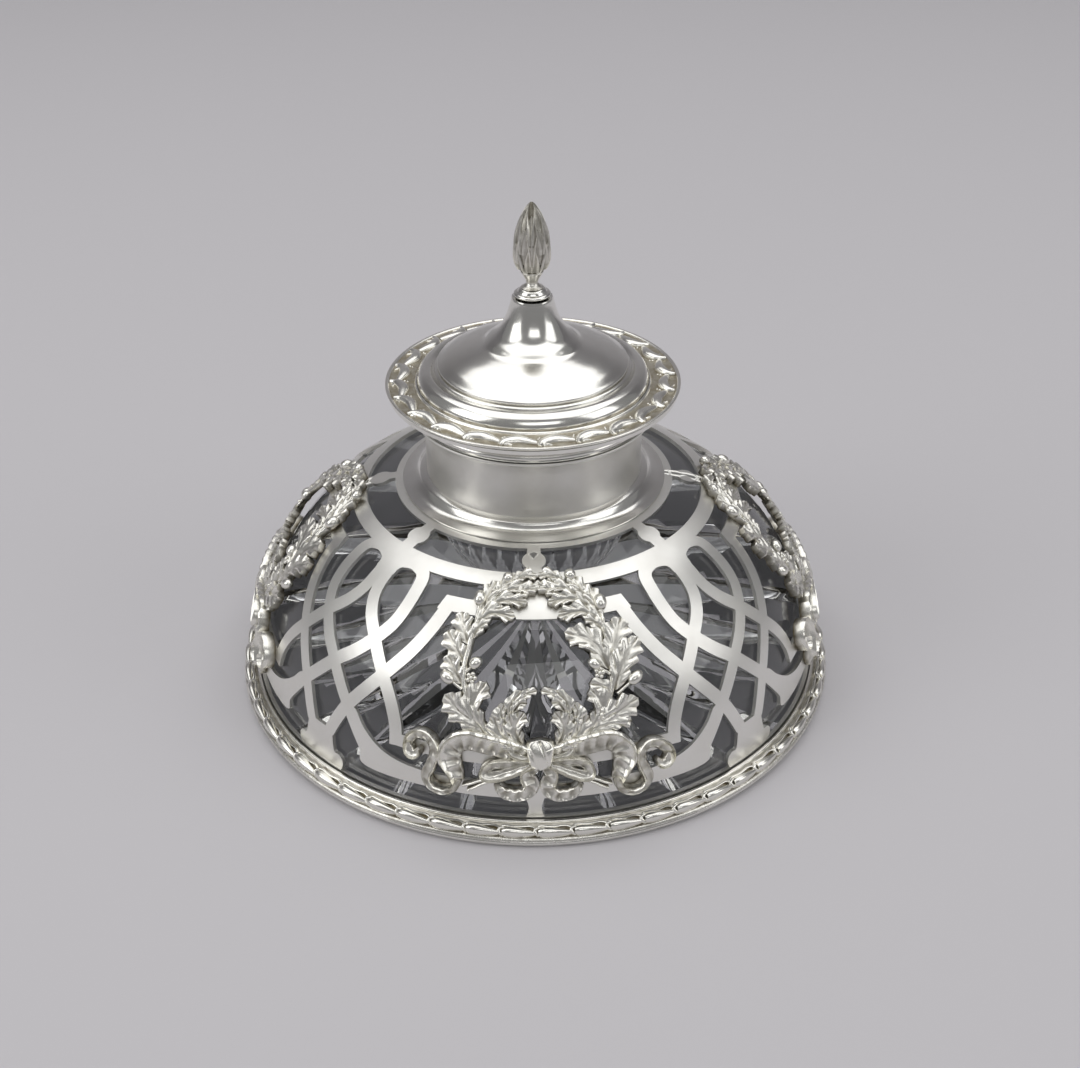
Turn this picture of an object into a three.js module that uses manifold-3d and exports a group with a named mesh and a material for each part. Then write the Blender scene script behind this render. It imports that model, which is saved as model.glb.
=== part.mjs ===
// Overlay glass inkwell: a star-cut glass dome under a pierced silver overlay, with a hinged lid.
// Millimetres, +Z up. The foot stands on z = 0 about the Z axis, and the front faces -Y.

import * as THREE from 'three';
import { mergeVertices } from 'three/addons/utils/BufferGeometryUtils.js';
import Module from 'manifold-3d';

const wasm = await Module();
wasm.setup();

// Clearances and small values
const seatGap = 0.3;
const glassGap = 0.5;
const weldDistance = 0.002;
const nearDistance = 0.03;
const sliverHeight = 0.03;
const shortEdge = 0.3;
const cutOverrun = 1;
const layerStep = 0.18;

// Glass neck and what fits round it
const neckRadius = 20;
const neckHeight = 12;
const neckWall = 3.5;
const cementWidth = 1.2;
const collarWall = 1;
const collarInner = neckRadius + cementWidth + 2 * seatGap;
const collarRadius = collarInner + collarWall;

// Dome: the outer face of the silver is part of an ellipse spun about Z
const flangeStep = 1.2;
const domeTopRadius = collarRadius + flangeStep;
const domeBulge = 38.6;
const domeRise = 42.6;
const domeFootHeight = 4;
const silverThickness = 0.8;

// Foot
const footProjection = 3.9;
const rimHeight = 1.5;
const borderHeight = 2.7;
const borderInset = 0.3;
const reelCount = 58;

// Glass
const boreRadius = neckRadius - neckWall;
const wellBulge = 4.5;
const wellRadius = boreRadius + wellBulge;
const wellDepth = 45;
const mouthRound = 0.9;
const starRadius = 46;
const starNotchRadius = 22;
const starDepth = 1.6;
const starRays = 24;

// Collar
const collarHeight = 15.8;
const collarFlare = 0.6;
const lipWidth = 1.8;
const lipHeight = 1.4;
const cementHeight = 9;
const coveWidth = 4.4;
const coveHeight = 1.9;

// Lid
const brimThickness = 0.8;
const bezelHeight = 4.3;
const bezelStep = 0.6;
const bezelWall = 1.6;
const bezelPlugDepth = 2.5;
const lidWall = 1.1;
const shoulderStep = 3.2;
const shoulderRadius = collarRadius + shoulderStep;
const brimWidth = 4.2;
const brimRadius = shoulderRadius + brimWidth;
const shoulderRound = 2.8;
const shoulderTopRadius = shoulderRadius - shoulderRound;
const shoulderHeight = 3.8;
const ledgeWidth = 3;
const beadRadius = shoulderTopRadius - ledgeWidth;
const beadHeight = 1.4;
const beadStep = 0.9;
const lidDomeRadius = beadRadius - beadStep;
const lidDomeHeight = 4.2;
const coneRadius = 4.25;
const coneHeight = 8.8;
const channelHeight = 1.1;
const channelOverhang = 0.5;
const curlRise = 0.7;
const curlCount = 24;

// Finial
const studRadius = 0.9;
const washerRadius = 4.1;
const washerHeight = 1.6;
const budRadius = 3.6;
const budHeight = 16.9;
const nutRadius = 2.4;
const nutHeight = 1.8;

// Hinge
const hingeWidth = 15;
const knuckleRadius = 1.6;
const lidKnuckleWidth = 4.8;
const pinRadius = 0.7;
const bracketHeight = 4;
const bracketThickness = 2;

// Overlay straps and cast ornaments
const strapWidth = 2.75;
const tabNeckWidth = 2.9;
const tabLobeRadius = 2.35;
const upperTabWidth = 6.4;
const lowerTabWidth = 3.8;
const leafHeight = 2;
const leafEdgeHeight = 0.4;
const ribbonWidth = 1.7;
const ribbonHeight = 1.5;
const lowerLoopHeight = 1.4;
const tailHeight = 1.15;
const knotHeight = 2.2;

const quarter = Math.PI / 2;
const fullTurn = Math.PI * 2;
const sideNames = ['front', 'right', 'back', 'left'];
const roundSegments = 24;
const footSegments = 40;
const glassSegments = 32;

const silver = new THREE.MeshStandardMaterial({ color: 0xd9d7d0, roughness: 0.22, metalness: 1 });
const castSilver = new THREE.MeshStandardMaterial({ color: 0xc9c5b8, roughness: 0.34, metalness: 1 });
const glass = new THREE.MeshStandardMaterial({ color: 0x8d9296, roughness: 0.05, metalness: 0 });
const plaster = new THREE.MeshStandardMaterial({ color: 0xe0dbcf, roughness: 0.9, metalness: 0 });
const steel = new THREE.MeshStandardMaterial({ color: 0x9a9a98, roughness: 0.4, metalness: 1 });

// Geometry helpers

function signedVolume(geometry) {
  const corners = geometry.getAttribute('position');
  const index = geometry.index.array;
  const [a, b, c] = [new THREE.Vector3(), new THREE.Vector3(), new THREE.Vector3()];
  let total = 0;
  for (let i = 0; i < index.length; i += 3) {
    a.fromBufferAttribute(corners, index[i]);
    b.fromBufferAttribute(corners, index[i + 1]);
    c.fromBufferAttribute(corners, index[i + 2]);
    total += a.dot(b.cross(c));
  }
  return total;
}

// One welded body with its faces pointing out
function closedBody(geometry) {
  const bare = new THREE.BufferGeometry();
  bare.setAttribute('position', geometry.getAttribute('position').clone());
  if (geometry.index) {
    bare.setIndex(Array.from(geometry.index.array));
  }
  const welded = mergeVertices(bare, weldDistance);
  const old = welded.index.array;
  const kept = [];
  for (let i = 0; i < old.length; i += 3) {
    const [a, b, c] = old.slice(i, i + 3);
    if (a !== b && b !== c && a !== c) {
      kept.push(a, b, c);
    }
  }
  welded.setIndex(kept);
  if (signedVolume(welded) < 0) {
    kept.reverse();
    welded.setIndex(kept);
  }
  return welded;
}

function toManifold(geometry) {
  const body = closedBody(geometry);
  return new wasm.Manifold(new wasm.Mesh({
    numProp: 3,
    vertProperties: Float32Array.from(body.getAttribute('position').array),
    triVerts: Uint32Array.from(body.index.array),
  }));
}

function fromManifold(solid) {
  const mesh = solid.getMesh();
  const geometry = new THREE.BufferGeometry();
  geometry.setAttribute('position', new THREE.BufferAttribute(Float32Array.from(mesh.vertProperties), 3));
  geometry.setIndex(Array.from(mesh.triVerts));
  return geometry;
}

function joined(geometries) {
  return fromManifold(geometries.map(toManifold).reduce((sum, solid) => sum.add(solid)));
}

function cut(geometry, cutters) {
  const whole = toManifold(geometry);
  return fromManifold(cutters.map(toManifold).reduce((rest, solid) => rest.subtract(solid), whole));
}

// Each edge with the faces on its two sides
function edgeSides(faces) {
  const edges = new Map();
  faces.forEach((face, f) => face.forEach((a, k) => {
    const b = face[(k + 1) % 3];
    const key = a < b ? `${a} ${b}` : `${b} ${a}`;
    edges.set(key, [...(edges.get(key) ?? []), { f, a, b, c: face[(k + 2) % 3] }]);
  }));
  return edges;
}

function faceHeight([a, b, c]) {
  const twiceArea = b.clone().sub(a).cross(c.clone().sub(a)).length();
  return twiceArea / Math.max(a.distanceTo(b), b.distanceTo(c), c.distanceTo(a));
}

// Closes up the short edge of a sliver, or turns its long edge
function withoutSlivers(geometry) {
  const body = closedBody(geometry);
  const corners = body.getAttribute('position');
  const points = [];
  for (let i = 0; i < corners.count; i += 1) {
    points.push(new THREE.Vector3().fromBufferAttribute(corners, i));
  }
  let faces = [];
  for (let i = 0; i < body.index.array.length; i += 3) {
    faces.push([...body.index.array.slice(i, i + 3)]);
  }
  const heightOf = (face) => faceHeight(face.map((corner) => points[corner]));
  const spanOf = ({ a, b }) => points[a].distanceTo(points[b]);
  const kept = new Set();
  let sliver;
  while ((sliver = faces.find((face) => heightOf(face) < sliverHeight && !kept.has(face.join())))) {
    const edges = edgeSides(faces);
    const keyOf = (a, b) => (a < b ? `${a} ${b}` : `${b} ${a}`);
    const sides = sliver.map((a, k) => edges.get(keyOf(a, sliver[(k + 1) % 3])));
    sides.sort((one, other) => spanOf(one[0]) - spanOf(other[0]));
    const [[{ a, b }], , [{ f, a: from, b: to, c }, { f: g, c: d }]] = sides;
    const ring = (corner) => new Set(faces.filter((face) => face.includes(corner)).flat());
    const ringOfB = ring(b);
    const shared = [...ring(a)].filter((corner) => ringOfB.has(corner));
    const turned = [[from, d, c], [d, to, c]];
    const gain = Math.min(...turned.map(heightOf)) - heightOf(sliver);
    if (spanOf({ a, b }) < shortEdge && shared.length === 4) {
      faces = faces.map((face) => face.map((corner) => (corner === b ? a : corner)));
      faces = faces.filter((face) => new Set(face).size === 3);
    } else if (gain > 0 && !edges.has(keyOf(c, d))) {
      [faces[f], faces[g]] = turned;
    } else {
      kept.add(sliver.join());
    }
  }
  const clean = new THREE.BufferGeometry().setFromPoints(points);
  clean.setIndex(faces.flat());
  return closedBody(clean);
}

// Profile points from [out, up] shares of a width and a height
function scaled(shares, radius, width, bottom, height) {
  return shares.map(([out, up]) => [radius + width * out, bottom + height * up]);
}

// A closed [radius, height] profile spun about Z
function revolve(profile, segments) {
  const points = profile.map(([radius, height]) => new THREE.Vector2(radius, height));
  points.push(points[0].clone());
  return closedBody(new THREE.LatheGeometry(points, segments).rotateX(quarter));
}

// Rings of points joined one to the next, closed round the loop or capped at both ends
function loft(rings, closed) {
  const count = rings[0].length;
  const index = [];
  const last = closed ? rings.length : rings.length - 1;
  for (let i = 0; i < last; i += 1) {
    const here = i * count;
    const there = ((i + 1) % rings.length) * count;
    for (let k = 0; k < count; k += 1) {
      const side = (k + 1) % count;
      index.push(here + k, there + k, there + side, here + k, there + side, here + side);
    }
  }
  if (!closed) {
    const end = last * count;
    for (let k = 1; k < count - 1; k += 1) {
      index.push(0, k, k + 1, end, end + k + 1, end + k);
    }
  }
  const geometry = new THREE.BufferGeometry().setFromPoints(rings.flat());
  geometry.setIndex(index);
  return closedBody(geometry);
}

// Slope of the dome: a share of 0 is the top of the ellipse, and 1 is its widest point

const slopeSteps = 480;
const slopeTurn = quarter * 1.12;

function slopeRows() {
  const rows = [];
  let length = 0;
  for (let i = 0; i <= slopeSteps; i += 1) {
    const angle = quarter - (slopeTurn * i) / slopeSteps;
    const radius = domeTopRadius + domeBulge * Math.cos(angle);
    const height = domeFootHeight + domeRise * Math.sin(angle);
    if (i > 0) {
      length += Math.hypot(radius - rows[i - 1].radius, height - rows[i - 1].height);
    }
    rows.push({ angle, radius, height, length });
  }
  return rows;
}

const slopeTable = slopeRows();
const slopeLength = slopeTable.find((row) => row.angle <= 0).length;

// The sheet ends just above the table
const sheetEndShare = slopeTable.find((row) => row.height <= seatGap).length / slopeLength;

function slopeAngleAt(length) {
  const k = slopeTable.findIndex((row) => row.length >= length);
  const [low, high] = [slopeTable[k - 1], slopeTable[k]];
  const part = (length - low.length) / (high.length - low.length);
  return low.angle + (high.angle - low.angle) * part;
}

// Radius and height at a share of the slope, lifted square to the face; inside the top it runs flat
function domeSpot(share, lift) {
  if (share <= 0) {
    return { radius: domeTopRadius + share * slopeLength, height: domeFootHeight + domeRise + lift };
  }
  const angle = slopeAngleAt(share * slopeLength);
  const across = Math.cos(angle) / domeBulge;
  const up = Math.sin(angle) / domeRise;
  const size = Math.hypot(across, up);
  return {
    radius: domeTopRadius + domeBulge * Math.cos(angle) + (lift * across) / size,
    height: domeFootHeight + domeRise * Math.sin(angle) + (lift * up) / size,
  };
}

function aroundZ(radius, angle, height) {
  return new THREE.Vector3(radius * Math.sin(angle), -radius * Math.cos(angle), height);
}

// A point of the dome, by degrees round from the front, share down the slope, and lift off the silver
function domePoint([degrees, share], lift) {
  const spot = domeSpot(share, lift);
  return aroundZ(spot.radius, THREE.MathUtils.degToRad(degrees), spot.height);
}

// Steps over the dome by lengths across (towards more degrees) and down the slope
function stepOnDome([degrees, share], across, down) {
  const turn = THREE.MathUtils.radToDeg(across / domeSpot(share, 0).radius);
  return [degrees + turn, share + down / slopeLength];
}

// Spots at a count of steps along a smooth line on the dome, with the heading at each
function walkOnDome(line, steps, closed) {
  const corners = line.map(([degrees, share]) => new THREE.Vector3(degrees, share, 0));
  const curve = new THREE.CatmullRomCurve3(corners, closed);
  const walk = [];
  for (let i = 0; i < (closed ? steps : steps + 1); i += 1) {
    const at = curve.getPoint(i / steps);
    const along = curve.getTangent(i / steps);
    const across = THREE.MathUtils.degToRad(along.x) * domeSpot(at.y, 0).radius;
    const down = along.y * slopeLength;
    const size = Math.hypot(across, down);
    walk.push({ spot: [at.x, at.y], across: across / size, down: down / size });
  }
  return walk;
}

// Steps from a place on a walk by lengths to its side and ahead
function beside({ spot, across, down }, side, ahead) {
  return stepOnDome(spot, across * ahead - down * side, down * ahead + across * side);
}

function mirrored(line) {
  return line.map(([degrees, ...rest]) => [-degrees, ...rest]);
}

function bothSides(line) {
  return [line, mirrored(line)];
}

// Pierced overlay, laid out flat over a quarter, joined, and then wrapped round the dome

const panelDegrees = 45;
const sectorStart = 10;
const sectorDegrees = 90;
const flatRadius = domeTopRadius + domeBulge / 2;
const bendDegrees = 13;
const bendShare = 0.19;
const turnSlackShare = 0.03;
const roundDegrees = 0.002;
const flangeShares = [-0.05, 0.0914];
const bandShares = [0.194, 0.246];
const plateShares = [0.304, 0.353];
const bowPlateShares = [0.762, 0.8025];
const lowRingShares = [0.863, 0.9145];
const skirtShares = [0.986, sheetEndShare];
const plateReachDegrees = 22;

// Straps of half a panel: degrees from the middle of the panel, and shares of the slope
const outerLoopShares = [
  [12.6, 0.29], [12.4, 0.36], [11.1, 0.436], [8, 0.506], [4.2, 0.57], [0, 0.629], [-6.3, 0.739],
];
const innerLoopShares = [
  [1.5, 0.24], [1.65, 0.36], [3.9, 0.436], [8, 0.506], [12.8, 0.6], [15.9, 0.67], [17.8, 0.74],
  [18.3, 0.8025],
];
const loopHeadShares = [[12.6, 0.29], [11, 0.256], [7.1, 0.24], [3.2, 0.256], [1.7, 0.29]];
const longStrapShares = [
  [22.8, 0.336], [20.7, 0.415], [17.6, 0.5], [12.8, 0.6], [6.3, 0.738], [2.6, 0.86],
];
const sweepShares = [
  [8, 0.735], [10.9, 0.784], [14.7, 0.829], [19, 0.853], [24.5, 0.863], [24.5, 0.9145], [12, 0.9145],
  [10.6, 0.866], [6.8, 0.781], [5.6, 0.747],
];
const cornerShares = [[28, 0.304], [21.4, 0.304], [20.1, 0.353], [28, 0.353]];
const bowPlateEndShares = [[17, 0.762], [28, 0.762], [28, 0.8025], [17, 0.8025]];
const postShares = [[3.4, 0.85], [4.1, 0.922], [5.8, 0.934], [6.4, 0.956], [5.5, 0.993]];
const waistShares = [[0.5, 0.58], [0.36, 0.2], [0.36, -0.2], [0.5, -0.58]];
const tabReachShare = 0.62;
const lobeSteps = 4;

// The outline of a strap of even width along a smooth line
function strapOutline(line) {
  const walk = walkOnDome(line, line.length - 1, false);
  const right = walk.map((place) => beside(place, strapWidth / 2, 0));
  const left = walk.map((place) => beside(place, -strapWidth / 2, 0));
  return right.concat(left.reverse());
}

function ringOutline([fromShare, toShare], fromDegrees, toDegrees) {
  return [[fromDegrees, fromShare], [toDegrees, fromShare], [toDegrees, toShare], [fromDegrees, toShare]];
}

// A round lobe between two necks, which ties the flange to the band
function lobedTab(degrees) {
  const [start, end] = [flangeShares[1], bandShares[0]];
  const middle = [degrees, (start + end) / 2];
  const reach = (end - start) * slopeLength * tabReachShare;
  const neckAngle = Math.asin(tabNeckWidth / (2 * tabLobeRadius));
  const outline = [];
  for (const facing of [1, -1]) {
    outline.push(stepOnDome(middle, (facing * tabNeckWidth) / 2, -facing * reach));
    for (let i = 0; i <= lobeSteps; i += 1) {
      const angle = neckAngle + ((Math.PI - 2 * neckAngle) * i) / lobeSteps;
      const across = facing * tabLobeRadius * Math.sin(angle);
      outline.push(stepOnDome(middle, across, -facing * tabLobeRadius * Math.cos(angle)));
    }
    outline.push(stepOnDome(middle, (facing * tabNeckWidth) / 2, facing * reach));
  }
  return outline;
}

// A tab drawn in at its waist, across the gap between two rings
function waistedTab(width, start, end) {
  const middle = [sectorDegrees, (start + end) / 2];
  const length = (end - start) * slopeLength;
  const edge = (side) => waistShares.map(([out, up]) => stepOnDome(middle, side * width * out, length * up));
  return edge(1).concat(edge(-1).reverse());
}

function sheetOutlines() {
  const onPanel = (outline) => outline.map(([degrees, share]) => [degrees + panelDegrees, share]);
  const straps = [outerLoopShares, innerLoopShares, loopHeadShares, longStrapShares].map(strapOutline);
  const halves = [...straps, sweepShares, cornerShares, bowPlateEndShares];
  const sectorEnd = sectorStart + sectorDegrees;
  const runs = [plateShares, bowPlateShares, lowRingShares].flatMap((shares) => [
    ringOutline(shares, sectorStart, panelDegrees - plateReachDegrees),
    ringOutline(shares, panelDegrees + plateReachDegrees, sectorEnd),
  ]);
  return [
    ...halves.flatMap(bothSides).map(onPanel),
    onPanel(postShares.concat(mirrored(postShares).reverse())),
    ...[flangeShares, bandShares, skirtShares].map((shares) => ringOutline(shares, sectorStart, sectorEnd)),
    ...runs,
    lobedTab(panelDegrees),
    lobedTab(sectorDegrees),
    waistedTab(upperTabWidth, bandShares[1], plateShares[0]),
    waistedTab(lowerTabWidth, lowRingShares[1], skirtShares[0]),
  ];
}

function flatPiece(outline) {
  const shape = new THREE.Shape(outline.map(([degrees, share]) => new THREE.Vector2(
    THREE.MathUtils.degToRad(degrees) * flatRadius,
    -share * slopeLength,
  )));
  return new THREE.ExtrudeGeometry(shape, { depth: silverThickness, bevelEnabled: false });
}

// The upper face of the flat sheet, as flat points and the faces on them
function flatFace() {
  const flat = joined(sheetOutlines().map(flatPiece));
  const corners = flat.getAttribute('position');
  const points = [];
  const names = [];
  for (let i = 0; i < corners.count; i += 1) {
    const [x, y] = [corners.getX(i), corners.getY(i)];
    let name = points.findIndex((point) => Math.hypot(point[0] - x, point[1] - y) < nearDistance);
    if (name < 0) {
      name = points.push([x, y]) - 1;
    }
    names.push(name);
  }
  const faces = [];
  const index = flat.index.array;
  for (let i = 0; i < index.length; i += 3) {
    const [a, b, c] = [0, 1, 2].map((k) => names[index[i + k]]);
    const isUpper = [0, 1, 2].every((k) => corners.getZ(index[i + k]) > silverThickness / 2);
    if (isUpper && a !== b && b !== c && a !== c) {
      faces.push([a, b, c]);
    }
  }
  return { points, faces };
}

function cotangent(from, a, b) {
  const [ax, ay, bx, by] = [a[0] - from[0], a[1] - from[1], b[0] - from[0], b[1] - from[1]];
  return (ax * bx + ay * by) / Math.max(Math.abs(ax * by - ay * bx), Number.EPSILON);
}

// Turns the shared edge of two faces where the other diagonal gives the better shapes
function evenFaces({ points, faces }) {
  for (let round = 0; round < 20; round += 1) {
    const turned = new Set();
    for (const sides of edgeSides(faces).values()) {
      if (sides.length < 2 || turned.has(sides[0].f) || turned.has(sides[1].f)) {
        continue;
      }
      const [{ f, a, b, c }, { f: g, c: d }] = sides;
      const sum = cotangent(points[c], points[a], points[b]) + cotangent(points[d], points[a], points[b]);
      if (sum < -turnSlackShare) {
        faces[f] = [a, d, c];
        faces[g] = [d, b, c];
        turned.add(f).add(g);
      }
    }
    if (turned.size === 0) {
      break;
    }
  }
}

// Halves the edges that are too long to follow the dome
function halveLongEdges({ points, faces }, onlyOutline) {
  const middles = new Map();
  for (const [key, sides] of edgeSides(faces)) {
    const [a, b] = [points[sides[0].a], points[sides[0].b]];
    const across = THREE.MathUtils.radToDeg((a[0] - b[0]) / flatRadius) / bendDegrees;
    const down = (a[1] - b[1]) / slopeLength / bendShare;
    if (Math.hypot(across, down) > 1 && (!onlyOutline || sides.length < 2)) {
      middles.set(key, points.push([(a[0] + b[0]) / 2, (a[1] + b[1]) / 2]) - 1);
    }
  }
  const halved = faces.flatMap((face) => {
    const found = face.map((a, k) => {
      const b = face[(k + 1) % 3];
      return middles.get(a < b ? `${a} ${b}` : `${b} ${a}`);
    });
    const count = found.filter((middle) => middle !== undefined).length;
    const first = count === 1
      ? found.findIndex((middle) => middle !== undefined)
      : (found.findIndex((middle) => middle === undefined) + 1) % 3;
    const [a, b, c] = [0, 1, 2].map((k) => face[(first + k) % 3]);
    const [ab, bc, ca] = [0, 1, 2].map((k) => found[(first + k) % 3]);
    return [
      [face],
      [[a, ab, c], [ab, b, c]],
      [[a, ab, c], [ab, bc, c], [ab, b, bc]],
      [[a, ab, ca], [ab, b, bc], [ca, bc, c], [ab, bc, ca]],
    ][count];
  });
  faces.splice(0, faces.length, ...halved);
}

// The upper and lower faces of the sheet on the dome, and the walls between them
function piercedOverlay() {
  const sheet = flatFace();
  evenFaces(sheet);
  for (const onlyOutline of [true, true, true, true, false, false]) {
    halveLongEdges(sheet, onlyOutline);
    evenFaces(sheet);
  }
  const spots = sheet.points.map(([x, y]) => [
    Math.round(THREE.MathUtils.radToDeg(x / flatRadius) / roundDegrees) * roundDegrees,
    (Math.round(-y / weldDistance) * weldDistance) / slopeLength,
  ]);
  const isOnEnd = (name) => {
    const fromStart = spots[name][0] - sectorStart;
    return Math.min(Math.abs(fromStart), Math.abs(fromStart - sectorDegrees)) < roundDegrees;
  };
  const corners = [];
  for (let turn = 0; turn < sideNames.length; turn += 1) {
    const add = (name, lift) => {
      const [degrees, share] = spots[name];
      corners.push(domePoint([degrees + turn * sectorDegrees, share], lift));
    };
    for (const face of sheet.faces) {
      face.forEach((name) => add(name, 0));
      [...face].reverse().forEach((name) => add(name, -silverThickness));
    }
    for (const sides of edgeSides(sheet.faces).values()) {
      const [{ a, b }] = sides;
      if (sides.length < 2 && !(isOnEnd(a) && isOnEnd(b))) {
        [[a, -silverThickness], [b, -silverThickness], [b, 0]].forEach(([name, lift]) => add(name, lift));
        [[a, -silverThickness], [b, 0], [a, 0]].forEach(([name, lift]) => add(name, lift));
      }
    }
  }
  return closedBody(new THREE.BufferGeometry().setFromPoints(corners));
}

// Glass body with its neck, ink well and star-cut base

const domeInset = silverThickness + glassGap;
const glassShoulder = domeSpot(0, -domeInset).height;
const neckTop = glassShoulder + neckHeight;
const glassShares = [1, 0.89, 0.77, 0.65, 0.52, 0.37, 0.2, 0];
const wellSteps = 5;

// Mitre cuts that meet in a hollow at the middle of the base
function starCut() {
  const grow = 1 + cutOverrun / starDepth;
  const points = [new THREE.Vector3(0, 0, starDepth), new THREE.Vector3(0, 0, -cutOverrun)];
  const index = [];
  const count = starRays * 2;
  for (let i = 0; i < count; i += 1) {
    const radius = i % 2 ? starNotchRadius : starRadius;
    const next = 2 + ((i + 1) % count);
    points.push(aroundZ(radius * grow, (fullTurn * i) / count, -cutOverrun));
    index.push(0, 2 + i, next, 1, next, 2 + i);
  }
  const geometry = new THREE.BufferGeometry().setFromPoints(points);
  geometry.setIndex(index);
  return geometry;
}

function glassBody() {
  const outer = [sheetEndShare, ...glassShares].map((share) => {
    const spot = domeSpot(share, -domeInset);
    return [spot.radius, spot.height];
  });
  const wellBottom = neckTop - wellDepth;
  const wellMiddle = wellBottom + wellRadius;
  const shoulderAngle = Math.acos(boreRadius / wellRadius);
  const well = Array.from({ length: wellSteps }, (_, i) => {
    const angle = shoulderAngle - ((shoulderAngle + quarter) * i) / wellSteps;
    return [wellRadius * Math.cos(angle), wellMiddle + wellRadius * Math.sin(angle)];
  });
  const profile = [
    [0, 0],
    [outer[0][0], 0],
    ...outer,
    [neckRadius, glassShoulder],
    [neckRadius, neckTop - mouthRound],
    [neckRadius - mouthRound, neckTop],
    [boreRadius + mouthRound, neckTop],
    [boreRadius, neckTop - mouthRound],
    ...well,
    [0, wellBottom],
  ];
  return cut(revolve(profile, glassSegments), [starCut()]);
}

// Foot: a plain rim, and above it a cast border of reels, each swelling from a node and tapering off

const footInner = domeTopRadius + domeBulge + seatGap;
const rimShares = [[0, 0], [1, 0], [1, 0.6], [0.9, 1], [0, 1]];
const reelStartShares = [[0, 0], [0.06, 0.9], [0.5, 0.5], [0.84, 0]];
const reelSwellShares = [[0, 0], [0.06, 0.9], [0.66, 1], [1, 0]];
const reelSwellAt = 0.3;

function baseRim() {
  return revolve(scaled(rimShares, footInner, footProjection - seatGap, 0, rimHeight), footSegments);
}

// A ring cast in relief, from the sections of one motif at their shares of its length
function castRing(count, sections) {
  const rings = [];
  for (let i = 0; i < count; i += 1) {
    for (const [part, section] of sections) {
      const angle = (fullTurn * (i + part)) / count;
      rings.push(section.map(([radius, height]) => aroundZ(radius, angle, height)));
    }
  }
  return loft(rings, true);
}

function baseBorder() {
  const width = footProjection - seatGap - borderInset;
  const bottom = rimHeight + seatGap;
  return castRing(reelCount, [
    [0, scaled(reelStartShares, footInner, width, bottom, borderHeight)],
    [reelSwellAt, scaled(reelSwellShares, footInner, width, bottom, borderHeight)],
  ]);
}

// Collar

const collarBottom = domeFootHeight + domeRise + seatGap;
const collarTop = collarBottom + collarHeight;
const collarShares = [[1, 0], [0, 0.17], [0, 0.6], [1, 0.91]];
const coveShares = [[0, 1], [0.16, 0.96], [0.26, 0.56], [0.52, 0.26], [1, 0.16]];
const cementShares = [[0, 0], [1, 0], [1, 1], [0, 1]];

function collar() {
  return revolve([
    [collarInner, collarBottom],
    ...scaled(collarShares, collarRadius, collarFlare, collarBottom, collarHeight),
    [collarRadius + collarFlare + lipWidth, collarTop - lipHeight / 2],
    [collarRadius + collarFlare + lipWidth, collarTop],
    [collarInner, collarTop],
  ], roundSegments);
}

// A hollow moulding that eases the collar into the flange
function collarFoot() {
  const inner = collarRadius + collarFlare + seatGap;
  const seat = [0, 0.5, 1].map((part) => {
    const spot = domeSpot((inner + coveWidth * part - domeTopRadius) / slopeLength, seatGap);
    return [spot.radius, spot.height];
  });
  const [edgeRadius, edgeHeight] = seat[2];
  return revolve([
    ...scaled(coveShares, inner, edgeRadius - inner, edgeHeight, collarBottom + coveHeight - edgeHeight),
    ...seat.reverse(),
  ], roundSegments);
}

function neckCement() {
  const inner = neckRadius + seatGap;
  const width = collarInner - seatGap - inner;
  return revolve(scaled(cementShares, inner, width, collarBottom, cementHeight), roundSegments);
}

// Lid

const bezelBottom = collarTop + seatGap;
const bezelOuter = collarRadius + collarFlare + lipWidth;
const plugRadius = collarInner - seatGap;
const brimBottom = bezelBottom + bezelHeight + seatGap;
const brimTop = brimBottom + brimThickness;
const stepTop = brimTop + shoulderHeight;
const coneBottom = stepTop + beadHeight + lidDomeHeight;
const lidTop = coneBottom + coneHeight;
const shoulderShares = [[1, 0.32], [0.72, 0.74], [0, 1]];
const domeShares = [[1, 0], [0.8, 0.42], [0.6, 0.72], [0.44, 0.9]];
const coneShares = [[0.28, 0.1], [0.13, 0.3], [0.05, 0.55], [0, 1]];
const hollowShares = [[0, 0.45], [0.2, 0]];
const bezelShares = [[0, 0], [0.4, 0.25], [0, 0.36], [1, 0.62], [0.6, 1]];
const channelShares = [[0, 0], [0, 1]];
const channelEdgeShares = [[1, 0.7], [1, 0]];
const curlFootShare = 0.3;
const curlCrestShare = 0.62;
const curlCrestAt = 0.16;

function lidShell() {
  const spread = lidDomeRadius - coneRadius;
  const shoulder = shoulderRadius - shoulderTopRadius;
  return revolve([
    [brimRadius, brimTop],
    [shoulderRadius, brimTop],
    ...scaled(shoulderShares, shoulderTopRadius, shoulder, brimTop, shoulderHeight),
    [beadRadius, stepTop],
    [beadRadius, stepTop + beadHeight / 2],
    ...scaled(domeShares, coneRadius, spread, stepTop + beadHeight, lidDomeHeight),
    ...scaled(coneShares, coneRadius, spread, coneBottom, coneHeight),
    [studRadius + seatGap, lidTop],
    [studRadius + seatGap, lidTop - lidWall],
    [coneRadius - lidWall, lidTop - lidWall],
    ...scaled(hollowShares, coneRadius - lidWall, spread, coneBottom - lidWall, coneHeight),
    [lidDomeRadius - lidWall, stepTop + beadHeight - lidWall],
    [plugRadius, stepTop - lidWall],
    [plugRadius, brimBottom],
    [brimRadius, brimBottom],
  ], roundSegments);
}

// The cast ring of the brim: a sunk channel with one curled leaf after another
function lidBorder() {
  const inner = shoulderRadius + seatGap;
  const width = brimRadius + channelOverhang - inner;
  const bottom = brimTop + seatGap;
  const section = (crest, rise) => [
    ...scaled(channelShares, inner, width, bottom, channelHeight),
    [inner + width * crest, bottom + channelHeight / 2 + curlRise * rise],
    ...scaled(channelEdgeShares, inner, width, bottom, channelHeight),
  ];
  return castRing(curlCount, [[0, section(curlFootShare, 0)], [curlCrestAt, section(curlCrestShare, 1)]]);
}

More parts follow.
